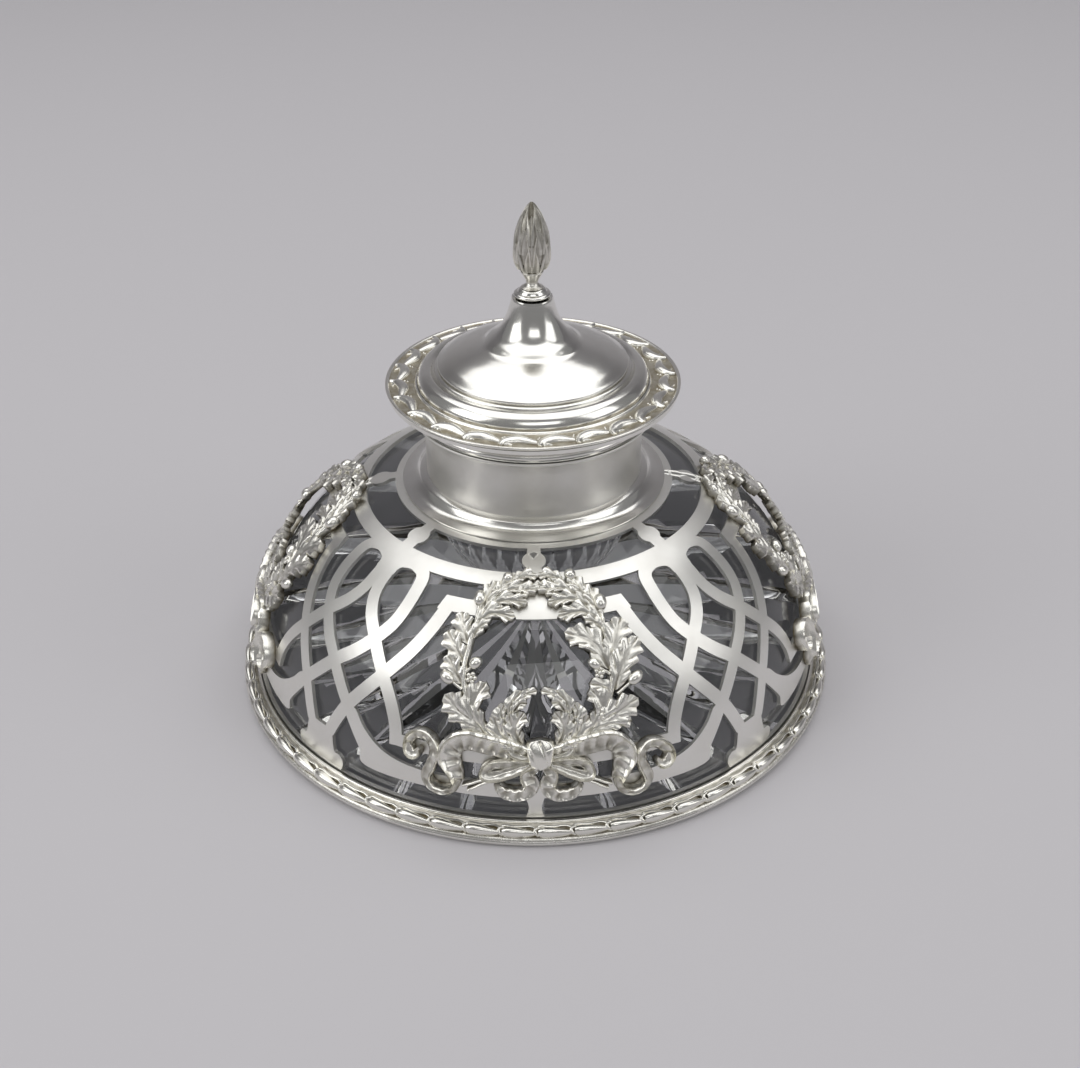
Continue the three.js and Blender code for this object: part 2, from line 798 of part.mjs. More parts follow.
function lidBezel() {
  const inner = plugRadius - bezelWall;
  return revolve([
    [inner, bezelBottom - bezelPlugDepth],
    [plugRadius, bezelBottom - bezelPlugDepth],
    [plugRadius, bezelBottom],
    ...scaled(bezelShares, bezelOuter, bezelStep, bezelBottom, bezelHeight),
    [inner, brimBottom - seatGap],
  ], roundSegments);
}

// Finial

const finialSegments = 12;
const washerBottom = lidTop + seatGap;
const budBottom = washerBottom + washerHeight + seatGap;
const washerShares = [[0.97, 0], [1, 0.3], [0.82, 0.68], [0.6, 1]];
const budShares = [
  [0.56, 0], [0.32, 0.05], [0.31, 0.12], [0.66, 0.205], [0.95, 0.33], [1, 0.43], [0.83, 0.64],
  [0.44, 0.86], [0, 1],
];

function finialWasher() {
  const hole = studRadius + seatGap;
  return revolve([
    [hole, washerBottom],
    ...scaled(washerShares, 0, washerRadius, washerBottom, washerHeight),
    [hole, washerBottom + washerHeight],
  ], finialSegments);
}

// A closed bud on a turned stem, with the stud that passes through the lid
function finialBud() {
  const studEnd = lidTop - lidWall - nutHeight - 2 * seatGap;
  return revolve([
    [0, studEnd],
    [studRadius, studEnd],
    [studRadius, budBottom],
    ...scaled(budShares, 0, budRadius, budBottom, budHeight),
  ], finialSegments);
}

function finialNut() {
  const top = lidTop - lidWall - seatGap;
  return revolve([
    [studRadius + seatGap, top - nutHeight],
    [nutRadius, top - nutHeight],
    [nutRadius, top],
    [studRadius + seatGap, top],
  ], 6);
}

// Hinge at the back, under the brim

const hingeY = bezelOuter + bezelStep + 2 * seatGap + knuckleRadius;
const hingeZ = bezelBottom + knuckleRadius;
const knuckleSides = 14;
const boreSides = 10;

// An outline of [y, z] points, extruded along X about the middle
function alongX(outline, width) {
  const shape = new THREE.Shape(outline.map(([y, z]) => new THREE.Vector2(y, z)));
  const turned = new THREE.Matrix4().makeBasis(
    new THREE.Vector3(0, 1, 0),
    new THREE.Vector3(0, 0, 1),
    new THREE.Vector3(1, 0, 0),
  );
  const solid = new THREE.ExtrudeGeometry(shape, { depth: width, bevelEnabled: false });
  return solid.applyMatrix4(turned).translate(-width / 2, 0, 0);
}

function hingeRound(radius, count, width) {
  const outline = Array.from({ length: count }, (_, i) => {
    const angle = (fullTurn * (i + 0.5)) / count;
    return [hingeY + radius * Math.cos(angle), hingeZ + radius * Math.sin(angle)];
  });
  return alongX(outline, width);
}

function hingeBore() {
  return hingeRound(pinRadius + seatGap, boreSides, hingeWidth + 2 * cutOverrun);
}

function collarHinge() {
  const wall = collarRadius + collarFlare + seatGap;
  const top = collarTop - lipHeight - seatGap;
  const bottom = top - bracketHeight;
  const inside = bezelOuter + 2 * seatGap;
  const back = inside + bracketThickness;
  const bracket = alongX([
    [wall - bracketThickness, bottom],
    [wall + bracketThickness / 2, bottom],
    [back, top - bracketThickness / 2],
    [back, hingeZ],
    [inside, hingeZ],
    [inside, top],
    [wall - bracketThickness, top],
  ], hingeWidth);
  const slotHeight = 2 * (knuckleRadius + 2 * seatGap);
  const slot = new THREE.BoxGeometry(lidKnuckleWidth + 2 * seatGap, 2 * slotHeight, slotHeight);
  const insideWall = revolve([[0, 0], [wall, 0], [wall, collarTop], [0, collarTop]], roundSegments);
  return withoutSlivers(cut(joined([bracket, hingeRound(knuckleRadius, knuckleSides, hingeWidth)]), [
    hingeBore(),
    slot.translate(0, hingeY, hingeZ),
    insideWall,
  ]));
}

function lidHinge() {
  const top = brimBottom - seatGap;
  const arm = alongX([
    [hingeY - pinRadius, hingeZ + pinRadius],
    [hingeY + pinRadius, hingeZ + pinRadius],
    [hingeY + knuckleRadius, top],
    [hingeY - knuckleRadius, top],
  ], lidKnuckleWidth);
  const round = hingeRound(knuckleRadius, knuckleSides, lidKnuckleWidth);
  return withoutSlivers(cut(joined([arm, round]), [hingeBore()]));
}

function hingePin() {
  return closedBody(hingeRound(pinRadius, boreSides, hingeWidth + 2 * seatGap));
}

// Cast wreath, laid on the dome about the front and repeated on the other sides

// Half of a wreath from the bow to the crown: degrees round, and shares of the slope
const branchShares = [
  [1.2, 0.7], [6.5, 0.69], [10.2, 0.65], [13, 0.6], [14.9, 0.54], [15, 0.47], [14.6, 0.41],
  [13.4, 0.35], [10.4, 0.29], [5.8, 0.246], [-0.8, 0.22],
];
const branchSizeShares = [0.2, 0.42, 0.75, 1, 1, 1, 0.95, 0.85, 0.75, 0.62, 0.5];
const branchLeaves = 7;
const branchOuterWidth = 5.2;
const branchInnerWidth = 3.2;
const branchReach = 1.5;
const sprayShares = [[1.4, 0.695], [4.9, 0.672], [6, 0.635], [4.7, 0.592], [-0.4, 0.563]];
const spraySizeShares = [0.5, 1, 1, 0.8, 0.4];
const sprayLeaves = 3;
const sprayWidth = 2.4;
const sprayReach = 1.6;
const notchShare = 0.3;
const notchRiseShare = 0.55;

// A leafy branch: its edges swing out to a pair of leaf tips and back to a notch, pair after pair
function leafyBranch(layer, line, leaves, leftWidth, rightWidth, reach, sizes) {
  const steps = 2 * leaves;
  const bottom = seatGap + layer * layerStep;
  const rings = walkOnDome(line, steps, false).map((place, i) => {
    const isTip = i % 2 === 1;
    const size = sizes[Math.floor((i * (sizes.length - 1)) / steps)];
    const spread = size * (isTip ? 1 : notchShare);
    const ahead = isTip ? reach * size : 0;
    return [
      domePoint(beside(place, -leftWidth * spread, ahead), bottom + leafEdgeHeight),
      domePoint(place.spot, bottom + leafHeight * (isTip ? 1 : notchRiseShare)),
      domePoint(beside(place, rightWidth * spread, ahead), bottom + leafEdgeHeight),
      domePoint(place.spot, bottom),
    ];
  });
  return loft(rings, false);
}

function wreath() {
  const [right, left] = bothSides(branchShares);
  const branch = [branchReach, branchSizeShares];
  const spray = [sprayWidth, sprayWidth, sprayReach, spraySizeShares];
  return withoutSlivers(joined([
    leafyBranch(0, right, branchLeaves, branchInnerWidth, branchOuterWidth, ...branch),
    leafyBranch(1, left, branchLeaves, branchOuterWidth, branchInnerWidth, ...branch),
    ...bothSides(sprayShares).map((line, k) => leafyBranch(2 + k, line, sprayLeaves, ...spray)),
  ]));
}

// Cast bow below the wreath

const knotShares = [[2.2, 0.738], [3.2, 0.768], [1.8, 0.797]];
const upperLoopShares = [
  [1.8, 0.762], [6.5, 0.744], [11, 0.735], [15, 0.748], [16, 0.778], [12.8, 0.803], [7.4, 0.79],
];
const lowerLoopShares = [[1, 0.786], [5.6, 0.787], [9.4, 0.806], [9, 0.842], [4.8, 0.83]];
const frillShares = [[1.6, 0.78], [8, 0.874], [6.4, 0.908], [3.6, 0.892], [1.2, 0.912]];
const tailShares = [
  [7.6, 0.848], [11.6, 0.87], [15.4, 0.895], [18.6, 0.885], [19.6, 0.842], [18.6, 0.79], [20.2, 0.74],
  [23, 0.75], [23, 0.79],
];
const upperLoopSteps = 8;
const lowerLoopSteps = 6;
const tailSteps = 8;

// A ribbon standing on the dome along a smooth line, folded to a ridge
function ribbon(layer, line, steps, closed, height) {
  const bottom = seatGap + layer * layerStep;
  return loft(walkOnDome(line, steps, closed).map((place) => [
    domePoint(beside(place, -ribbonWidth / 2, 0), bottom),
    domePoint(place.spot, seatGap + height),
    domePoint(beside(place, ribbonWidth / 2, 0), bottom),
  ]), closed);
}

// A pad that rises from its outline to one crest
function pad(layer, outline, height) {
  const bottom = seatGap + layer * layerStep;
  const middle = [0, 1].map((k) => outline.reduce((sum, spot) => sum + spot[k], 0) / outline.length);
  const points = outline.map((spot) => domePoint(spot, bottom));
  const crest = points.push(domePoint(middle, seatGap + height)) - 1;
  const index = [];
  for (let k = 0; k < crest; k += 1) {
    index.push(k, (k + 1) % crest, crest);
  }
  for (let k = 1; k < crest - 1; k += 1) {
    index.push(0, k + 1, k);
  }
  const geometry = new THREE.BufferGeometry().setFromPoints(points);
  geometry.setIndex(index);
  return closedBody(geometry);
}

function bow() {
  const around = (halfOutline) => halfOutline.concat(mirrored(halfOutline).reverse());
  return withoutSlivers(joined([
    pad(5, around(knotShares), knotHeight),
    pad(2.5, around(frillShares), ribbonHeight),
    ...bothSides(upperLoopShares).map((line, k) => ribbon(1 + k, line, upperLoopSteps, true, ribbonHeight)),
    ...bothSides(lowerLoopShares).map((line, k) => ribbon(3 + k, line, lowerLoopSteps, true, lowerLoopHeight)),
    ...bothSides(tailShares).map((line) => ribbon(2.5, line, tailSteps, false, tailHeight)),
  ]));
}

// Assembly

const inkwell = new THREE.Group();

function place(name, geometry, material, turn = 0) {
  const mesh = new THREE.Mesh(geometry, material);
  mesh.name = name;
  mesh.rotation.z = turn;
  inkwell.add(mesh);
}

place('glass_body', glassBody(), glass);
place('neck_cement', neckCement(), plaster);
place('pierced_overlay', piercedOverlay(), silver);
place('base_rim', baseRim(), silver);
place('base_border', baseBorder(), castSilver);
place('collar', collar(), silver);
place('collar_foot', collarFoot(), silver);
place('collar_hinge', collarHinge(), silver);
place('hinge_pin', hingePin(), steel);

const wreathGeometry = wreath();
const bowGeometry = bow();
sideNames.forEach((side, k) => {
  place(`wreath_${side}`, wreathGeometry, castSilver, k * quarter);
  place(`bow_${side}`, bowGeometry, castSilver, k * quarter);
});

place('lid_shell', lidShell(), silver);
place('lid_border', lidBorder(), castSilver);
place('lid_bezel', lidBezel(), silver);
place('lid_hinge', lidHinge(), silver);
place('finial_washer', finialWasher(), silver);
place('finial_bud', finialBud(), castSilver);
place('finial_nut', finialNut(), silver);

export default inkwell;
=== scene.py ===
from bisect import bisect_left
from math import asin, atan2, cos, degrees, exp, hypot, pi, radians, sin, sqrt

import bmesh
import bpy
from mathutils import Matrix, Vector


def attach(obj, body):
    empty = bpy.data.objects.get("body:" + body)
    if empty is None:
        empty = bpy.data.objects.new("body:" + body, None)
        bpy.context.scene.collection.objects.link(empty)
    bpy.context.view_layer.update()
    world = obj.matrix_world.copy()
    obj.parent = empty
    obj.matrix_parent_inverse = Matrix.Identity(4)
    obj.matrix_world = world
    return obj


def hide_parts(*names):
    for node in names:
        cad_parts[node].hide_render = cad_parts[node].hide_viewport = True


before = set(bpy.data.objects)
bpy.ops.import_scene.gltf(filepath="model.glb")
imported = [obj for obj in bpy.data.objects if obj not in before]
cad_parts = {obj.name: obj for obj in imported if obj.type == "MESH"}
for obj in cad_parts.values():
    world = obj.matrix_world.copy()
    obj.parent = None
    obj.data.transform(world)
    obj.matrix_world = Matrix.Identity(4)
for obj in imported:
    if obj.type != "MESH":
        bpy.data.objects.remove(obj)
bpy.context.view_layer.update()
print("frame loaded:", len(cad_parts), "nodes")

mm = 0.001
sideTurns = {"front": 0, "right": 90, "back": 180, "left": 270}


# Shader groups

def newGroup(name, inputs, outputs):
    group = bpy.data.node_groups.new(name, "ShaderNodeTree")
    for label, kind, value in inputs:
        group.interface.new_socket(name=label, in_out="INPUT", socket_type=kind).default_value = value
    for label, kind in outputs:
        group.interface.new_socket(name=label, in_out="OUTPUT", socket_type=kind)
    return group, group.nodes.new("NodeGroupInput"), group.nodes.new("NodeGroupOutput")


def addNode(tree, kind, links=(), **values):
    node = tree.nodes.new(kind)
    for key, value in values.items():
        if hasattr(node, key):
            setattr(node, key, value)
        else:
            node.inputs[key.replace("_", " ")].default_value = value
    for source, socket in links:
        tree.links.new(source, node.inputs[socket])
    return node


def remap(tree, source, low, high, toLow=0.0, toHigh=1.0):
    node = addNode(tree, "ShaderNodeMapRange", [(source, 0)])
    for index, value in enumerate((low, high, toLow, toHigh), 1):
        node.inputs[index].default_value = value
    return node.outputs[0]


def combine(tree, operation, first, second):
    node = tree.nodes.new("ShaderNodeMath")
    node.operation = operation
    for index, source in enumerate((first, second)):
        if isinstance(source, (int, float)):
            node.inputs[index].default_value = source
        else:
            tree.links.new(source, node.inputs[index])
    return node.outputs[0]


# Hairlines from wiping, soft smudges and a slight unevenness of hand-worked metal
def makeHandlingMarks():
    group, given, made = newGroup("handlingMarks", [
        ("Roughness", "NodeSocketFloat", 0.2), ("Hairlines", "NodeSocketFloat", 0.5),
        ("Smudges", "NodeSocketFloat", 0.5), ("Planishing", "NodeSocketFloat", 0.5),
    ], [("Roughness", "NodeSocketFloat"), ("Height", "NodeSocketFloat"), ("Smudge", "NodeSocketFloat")])
    place = addNode(group, "ShaderNodeTexCoord").outputs["Object"]
    lines = None
    for turn, stretch in (((0.3, 0.2, 0.9), (260, 5200, 2600)), ((1.1, 0.5, 2.2), (4700, 300, 3100))):
        mapped = addNode(group, "ShaderNodeMapping", [(place, "Vector")])
        mapped.inputs["Rotation"].default_value = turn
        mapped.inputs["Scale"].default_value = stretch
        hair = addNode(group, "ShaderNodeTexNoise", [(mapped.outputs[0], "Vector")], Scale=1.0, Detail=2.0)
        hair = remap(group, hair.outputs["Fac"], 0.6, 0.72)
        lines = hair if lines is None else combine(group, "MAXIMUM", lines, hair)
    soft = addNode(group, "ShaderNodeTexNoise", [(place, "Vector")], Scale=85.0, Detail=4.0, Roughness=0.6)
    soft = remap(group, soft.outputs["Fac"], 0.42, 0.68)
    dents = addNode(group, "ShaderNodeTexNoise", [(place, "Vector")], Scale=150.0, Detail=1.0)
    lines = combine(group, "MULTIPLY", lines, given.outputs["Hairlines"])
    soft = combine(group, "MULTIPLY", soft, given.outputs["Smudges"])
    rough = combine(group, "ADD", given.outputs["Roughness"], combine(group, "MULTIPLY", soft, 0.09))
    rough = combine(group, "ADD", rough, combine(group, "MULTIPLY", lines, 0.1))
    dents = combine(group, "MULTIPLY", dents.outputs["Fac"], given.outputs["Planishing"])
    height = combine(group, "SUBTRACT", dents, combine(group, "MULTIPLY", lines, 0.05))
    group.links.new(rough, made.inputs["Roughness"])
    group.links.new(height, made.inputs["Height"])
    group.links.new(soft, made.inputs["Smudge"])
    return group


# Bright metal on the crests; in the hollows yellow-brown tarnish together with painted shade, so low relief is painted
# dark and only the crests stay bright
def makeRecessTarnish():
    group, given, made = newGroup("recessTarnish", [
        ("Bright", "NodeSocketColor", (0.9, 0.89, 0.87, 1)), ("Tarnish", "NodeSocketColor", (0.3, 0.24, 0.14, 1)),
        ("Reach", "NodeSocketFloat", 0.5), ("Roughness", "NodeSocketFloat", 0.22),
    ], [("Color", "NodeSocketColor"), ("Roughness", "NodeSocketFloat"), ("Height", "NodeSocketFloat")])
    depth = addNode(group, "ShaderNodeAttribute")
    depth.attribute_name = "relief"
    place = addNode(group, "ShaderNodeTexCoord").outputs["Object"]
    mottle = addNode(group, "ShaderNodeTexNoise", [(place, "Vector")], Scale=620.0, Detail=4.0, Roughness=0.65)
    uneven = remap(group, mottle.outputs["Fac"], 0.3, 0.7, -0.16, 0.16)
    level = combine(group, "ADD", depth.outputs["Fac"], uneven)
    # painted shade together with tarnish: the lower the relief, the darker the colour
    dark = addNode(group, "ShaderNodeMapRange", [(level, 0), (given.outputs["Reach"], 1)], clamp=True)
    dark.inputs[2].default_value = -0.05
    mix = addNode(group, "ShaderNodeMix", [
        (dark.outputs[0], 0), (given.outputs["Bright"], 6), (given.outputs["Tarnish"], 7),
    ], data_type="RGBA")
    rough = combine(group, "ADD", given.outputs["Roughness"], combine(group, "MULTIPLY", dark.outputs[0], 0.24))
    grain = addNode(group, "ShaderNodeTexNoise", [(place, "Vector")], Scale=1500.0, Detail=3.0)
    group.links.new(mix.outputs[2], made.inputs["Color"])
    group.links.new(rough, made.inputs["Roughness"])
    group.links.new(grain.outputs["Fac"], made.inputs["Height"])
    return group


handlingMarks = makeHandlingMarks()
recessTarnish = makeRecessTarnish()


# Materials

def newMaterial(name, **values):
    material = bpy.data.materials.new(name)
    material.use_nodes = True
    tree = material.node_tree
    shader = next(node for node in tree.nodes if node.type == "BSDF_PRINCIPLED")
    for key, value in values.items():
        shader.inputs[key.replace("_", " ")].default_value = value
    return material, tree, shader


def placeGroup(tree, group, **values):
    node = tree.nodes.new("ShaderNodeGroup")
    node.node_tree = group
    for key, value in values.items():
        node.inputs[key].default_value = value
    return node


def bumpFrom(tree, shader, height, strength, distance):
    bump = addNode(tree, "ShaderNodeBump", [(height, "Height")], Strength=strength, Distance=distance)
    tree.links.new(bump.outputs[0], shader.inputs["Normal"])


def wornSilver(name, bright, shade, roughness, hairlines, smudges, planishing, bump):
    material, tree, shader = newMaterial(name, Metallic=1.0)
    marks = placeGroup(tree, handlingMarks, Roughness=roughness, Hairlines=hairlines,
                       Smudges=smudges, Planishing=planishing)
    mix = addNode(tree, "ShaderNodeMix", [(marks.outputs["Smudge"], 0)], data_type="RGBA")
    mix.inputs[6].default_value = (*bright, 1)
    mix.inputs[7].default_value = (*shade, 1)
    tree.links.new(mix.outputs[2], shader.inputs["Base Color"])
    tree.links.new(marks.outputs["Roughness"], shader.inputs["Roughness"])
    bumpFrom(tree, shader, marks.outputs["Height"], bump, 0.0002)
    return material


# Silver with tarnish in its hollows and painted shade there, both driven by the relief attribute
def tarnishedAndShadedSilver(name, bright, tarnishAndShade, reach, roughness, bump):
    material, tree, shader = newMaterial(name, Metallic=1.0)
    patinaAndShade = placeGroup(tree, recessTarnish, Bright=(*bright, 1), Tarnish=(*tarnishAndShade, 1),
                        Reach=reach, Roughness=roughness)
    tree.links.new(patinaAndShade.outputs["Color"], shader.inputs["Base Color"])
    tree.links.new(patinaAndShade.outputs["Roughness"], shader.inputs["Roughness"])
    bumpFrom(tree, shader, patinaAndShade.outputs["Height"], bump, 0.0001)
    return material


def makeGlass():
    material, tree, shader = newMaterial(
        "cutGlass", Base_Color=(0.76, 0.77, 0.775, 1), Roughness=0.0, IOR=1.52, Transmission_Weight=1.0)
    place = addNode(tree, "ShaderNodeTexCoord").outputs["Object"]
    streaks = addNode(tree, "ShaderNodeTexNoise", [(place, "Vector")], Scale=42.0, Detail=1.0)
    bumpFrom(tree, shader, streaks.outputs["Fac"], 0.06, 0.001)
    output = next(node for node in tree.nodes if node.type == "OUTPUT_MATERIAL")
    clear = addNode(tree, "ShaderNodeBsdfTransparent", Color=(0.78, 0.79, 0.795, 1))
    mix = addNode(tree, "ShaderNodeMixShader")
    tree.links.new(addNode(tree, "ShaderNodeLightPath").outputs["Is Shadow Ray"], mix.inputs[0])
    tree.links.new(shader.outputs[0], mix.inputs[1])
    tree.links.new(clear.outputs[0], mix.inputs[2])
    tree.links.new(mix.outputs[0], output.inputs["Surface"])
    return material


def makePlaster():
    material, tree, shader = newMaterial("plasterBed", Roughness=0.9)
    place = addNode(tree, "ShaderNodeTexCoord").outputs["Object"]
    grit = addNode(tree, "ShaderNodeTexNoise", [(place, "Vector")], Scale=700.0, Detail=5.0)
    ramp = addNode(tree, "ShaderNodeMix", [(grit.outputs["Fac"], 0)], data_type="RGBA")
    ramp.inputs[6].default_value = (0.72, 0.68, 0.6, 1)
    ramp.inputs[7].default_value = (0.82, 0.79, 0.73, 1)
    tree.links.new(ramp.outputs[2], shader.inputs["Base Color"])
    bumpFrom(tree, shader, grit.outputs["Fac"], 0.4, 0.0003)
    return material


finishes = {
    "turned": wornSilver("turnedSilver", (0.88, 0.87, 0.83), (0.76, 0.745, 0.69), 0.15, 0.5, 0.6, 0.55, 0.25),
    "satin": wornSilver("satinSilver", (0.84, 0.83, 0.795), (0.74, 0.725, 0.675), 0.36, 0.6, 0.6, 0.3, 0.25),
    "sheet": wornSilver("sheetSilver", (0.89, 0.88, 0.84), (0.82, 0.805, 0.76), 0.33, 0.6, 0.7, 0.3, 0.25),
    # the cast, border, brim and bud finishes carry tarnish and painted shade in their hollows
    "cast": tarnishedAndShadedSilver("castSilver", (0.89, 0.875, 0.815), (0.13, 0.105, 0.06), 0.78, 0.27, 0.25),
    "border": tarnishedAndShadedSilver("borderSilver", (0.89, 0.875, 0.82), (0.16, 0.13, 0.075), 0.6, 0.24, 0.25),
    "brim": tarnishedAndShadedSilver("brimSilver", (0.89, 0.875, 0.82), (0.38, 0.34, 0.26), 0.6, 0.25, 0.25),
    "bud": tarnishedAndShadedSilver("budSilver", (0.9, 0.88, 0.82), (0.1, 0.085, 0.05), 1.0, 0.26, 0.3),
    "pin": wornSilver("pinWire", (0.6, 0.6, 0.59), (0.5, 0.5, 0.49), 0.32, 0.9, 0.6, 0.1, 0.3),
    "glass": makeGlass(),
    "plaster": makePlaster(),
}
print("finishes made:", ", ".join(finishes))


# Making pieces

def finishPiece(name, bm, finish, body, stands, sharpAngle=35, recalc=True):
    bmesh.ops.remove_doubles(bm, verts=bm.verts[:], dist=0.002)
    bmesh.ops.dissolve_degenerate(bm, edges=bm.edges[:], dist=0.0005)
    if recalc:
        bmesh.ops.recalc_face_normals(bm, faces=bm.faces[:])
    bmesh.ops.scale(bm, vec=(mm, mm, mm), verts=bm.verts[:])
    mesh = bpy.data.meshes.new(name)
    bm.to_mesh(mesh)
    bm.free()
    for face in mesh.polygons:
        face.use_smooth = True
    mesh.set_sharp_from_angle(angle=radians(sharpAngle))
    piece = bpy.data.objects.new(name, mesh)
    bpy.context.scene.collection.objects.link(piece)
    piece.data.materials.append(finishes[finish])
    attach(piece, body)
    if stands:
        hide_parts(stands)
    return piece


# Profile points [radius, height, fillet], with each corner rounded by its own fillet
def filleted(corners, steps=4):
    rounded = []
    count = len(corners)
    for index, corner in enumerate(corners):
        here = Vector(corner[:2])
        fillet = corner[2] if len(corner) > 2 else 0
        if fillet <= 0 or index in (0, count - 1):
            rounded.append(here)
            continue
        before = Vector(corners[index - 1][:2]) - here
        after = Vector(corners[index + 1][:2]) - here
        reach = min(fillet, before.length * 0.49, after.length * 0.49)
        start = here + before.normalized() * reach
        end = here + after.normalized() * reach
        for step in range(steps + 1):
            part = step / steps
            rounded.append(start * (1 - part) ** 2 + here * 2 * part * (1 - part) + end * part ** 2)
    return rounded


def smoothPoints(points, steps):
    made = []
    count = len(points)
    for index in range(count - 1):
        ends = [Vector(points[min(max(index + shift, 0), count - 1)]) for shift in (-1, 0, 1, 2)]
        for step in range(steps):
            part = step / steps
            made.append(0.5 * (
                2 * ends[1] + (ends[2] - ends[0]) * part
                + (2 * ends[0] - 5 * ends[1] + 4 * ends[2] - ends[3]) * part ** 2
                + (3 * ends[1] - ends[0] - 3 * ends[2] + ends[3]) * part ** 3))
    made.append(Vector(points[-1]))
    return made


def turnedShape(profile, steps=144, closed=True):
    bm = bmesh.new()
    verts = [bm.verts.new((radius, 0, height)) for radius, height in profile]
    edges = [bm.edges.new(pair) for pair in zip(verts, verts[1:])]
    if closed:
        edges.append(bm.edges.new((verts[-1], verts[0])))
    bmesh.ops.spin(bm, geom=verts + edges, axis=(0, 0, 1), cent=(0, 0, 0), angle=2 * pi, steps=steps,
                   use_merge=True)
    bmesh.ops.remove_doubles(bm, verts=bm.verts[:], dist=0.001)
    bmesh.ops.recalc_face_normals(bm, faces=bm.faces[:])
    return bm


# The dome of the silver: degrees round from the front, millimetres down the slope, lift off the face

dome = {"topRadius": 24, "bulge": 38.6, "rise": 42.6, "footHeight": 4, "sheet": 0.8, "glassGap": 0.5}


def measureDome():
    rows = []
    length = 0
    for step in range(961):
        angle = pi / 2 * (1 - 1.12 * step / 960)
        radius = dome["topRadius"] + dome["bulge"] * cos(angle)
        height = dome["footHeight"] + dome["rise"] * sin(angle)
        if rows:
            length += hypot(radius - rows[-1][2], height - rows[-1][3])
        rows.append((length, angle, radius, height))
    return rows


domeRows = measureDome()
domeLengths = [row[0] for row in domeRows]
slopeLength = next(row[0] for row in domeRows if row[1] <= 0)


def domeSpot(down, lift):
    if down <= 0:
        return dome["topRadius"] + down, dome["footHeight"] + dome["rise"] + lift
    index = min(max(bisect_left(domeLengths, down), 1), len(domeRows) - 1)
    low, high = domeRows[index - 1], domeRows[index]
    part = (down - low[0]) / (high[0] - low[0])
    angle = low[1] + (high[1] - low[1]) * part
    across, up = cos(angle) / dome["bulge"], sin(angle) / dome["rise"]
    size = hypot(across, up)
    return (dome["topRadius"] + dome["bulge"] * cos(angle) + lift * across / size,
            dome["footHeight"] + dome["rise"] * sin(angle) + lift * up / size)


def aroundAxis(radius, turn, height):
    return Vector((radius * sin(radians(turn)), -radius * cos(radians(turn)), height))


def onDome(turn, down, lift):
    radius, height = domeSpot(down, lift)
    return aroundAxis(radius, turn, height)


# Relief: a grid laid along a smooth line on a surface, raised by a height for each place on it

def walkLine(surface, line, steps):
    fine = smoothPoints(line, 12)
    lengths = [0]
    for start, end in zip(fine, fine[1:]):
        width = (surface(0.5, start[1], 0) - surface(-0.5, start[1], 0)).length
        lengths.append(lengths[-1] + hypot((end[0] - start[0]) * width, end[1] - start[1]))
    walk = []
    for step in range(steps + 1):
        want = lengths[-1] * step / steps
        index = min(max(bisect_left(lengths, want), 1), len(fine) - 1)
        part = (want - lengths[index - 1]) / max(lengths[index] - lengths[index - 1], 1e-9)
        spot = fine[index - 1].lerp(fine[index], part)
        ahead = fine[min(index + 1, len(fine) - 1)] - fine[max(index - 2, 0)]
        width = (surface(0.5, spot[1], 0) - surface(-0.5, spot[1], 0)).length
        heading = Vector((ahead[0] * width, ahead[1])).normalized()
        walk.append((spot, heading, width))
    return walk, lengths[-1]


def addRelief(bm, surface, line, halfWidth, lift, across=6, along=16, foot=0.05, ahead=None, peak=None):
    relief = bm.verts.layers.float.get("relief") or bm.verts.layers.float.new("relief")
    walk, length = walkLine(surface, line, along)
    grid = bmesh.ops.create_grid(bm, x_segments=across, y_segments=along, size=0.5)["verts"]
    faces = list({face for vert in grid for face in vert.link_faces})
    places = {vert: (vert.co.x * 2, vert.co.y + 0.5) for vert in grid}
    raised = bmesh.ops.extrude_face_region(bm, geom=faces)["geom"]
    raised = [item for item in raised if isinstance(item, bmesh.types.BMVert)]
    top = peak or max(lift(0, step / along) for step in range(along + 1))
    for isRaised, verts in ((False, grid), (True, raised)):
        for vert in verts:
            side, part = places[vert] if not isRaised else (vert.co.x * 2, vert.co.y + 0.5)
            index = min(int(round(part * along)), along)
            spot, heading, width = walk[index]
            out = side * halfWidth(part)
            forward = ahead(side, part) * length if ahead else 0
            shiftAcross = heading[0] * forward - heading[1] * out
            shiftDown = heading[1] * forward + heading[0] * out
            height = lift(side, part) if isRaised else foot
            # relief: share of the height; where it is low the silver takes tarnish and painted shade
            vert[relief] = min(max((height - foot) / (top - foot), 0), 1) if isRaised else 0
            vert.co = surface(spot[0] + shiftAcross / width, spot[1] + shiftDown, height)
    return raised


def addBead(bm, surface, place, radius, lift, stretch=1.0, toward=(0, 1)):
    relief = bm.verts.layers.float.get("relief") or bm.verts.layers.float.new("relief")
    ball = bmesh.ops.create_uvsphere(bm, u_segments=14, v_segments=9, radius=1.0)["verts"]
    middle = surface(place[0], place[1], lift)
    up = (surface(place[0], place[1], lift + 1) - middle).normalized()
    right = (surface(place[0] + 0.5, place[1], lift) - middle).normalized()
    down = (surface(place[0], place[1] + 0.5, lift) - middle).normalized()
    size = hypot(*toward)
    long = (right * toward[0] + down * toward[1]) / size
    wide = up.cross(long)
    for vert in ball:
        # the bead's top stays bright and its underside takes tarnish and painted shade
        vert[relief] = min(max(vert.co.z * 0.7 + 0.55, 0), 1)
        vert.co = middle + (wide * vert.co.x + long * vert.co.y * stretch + up * vert.co.z) * radius


def roundLobe(part, lobes, shift=0.1):
    return (1 - abs(2 * ((part * lobes + shift) % 1.0) ** 1.5 - 1)) ** 0.75


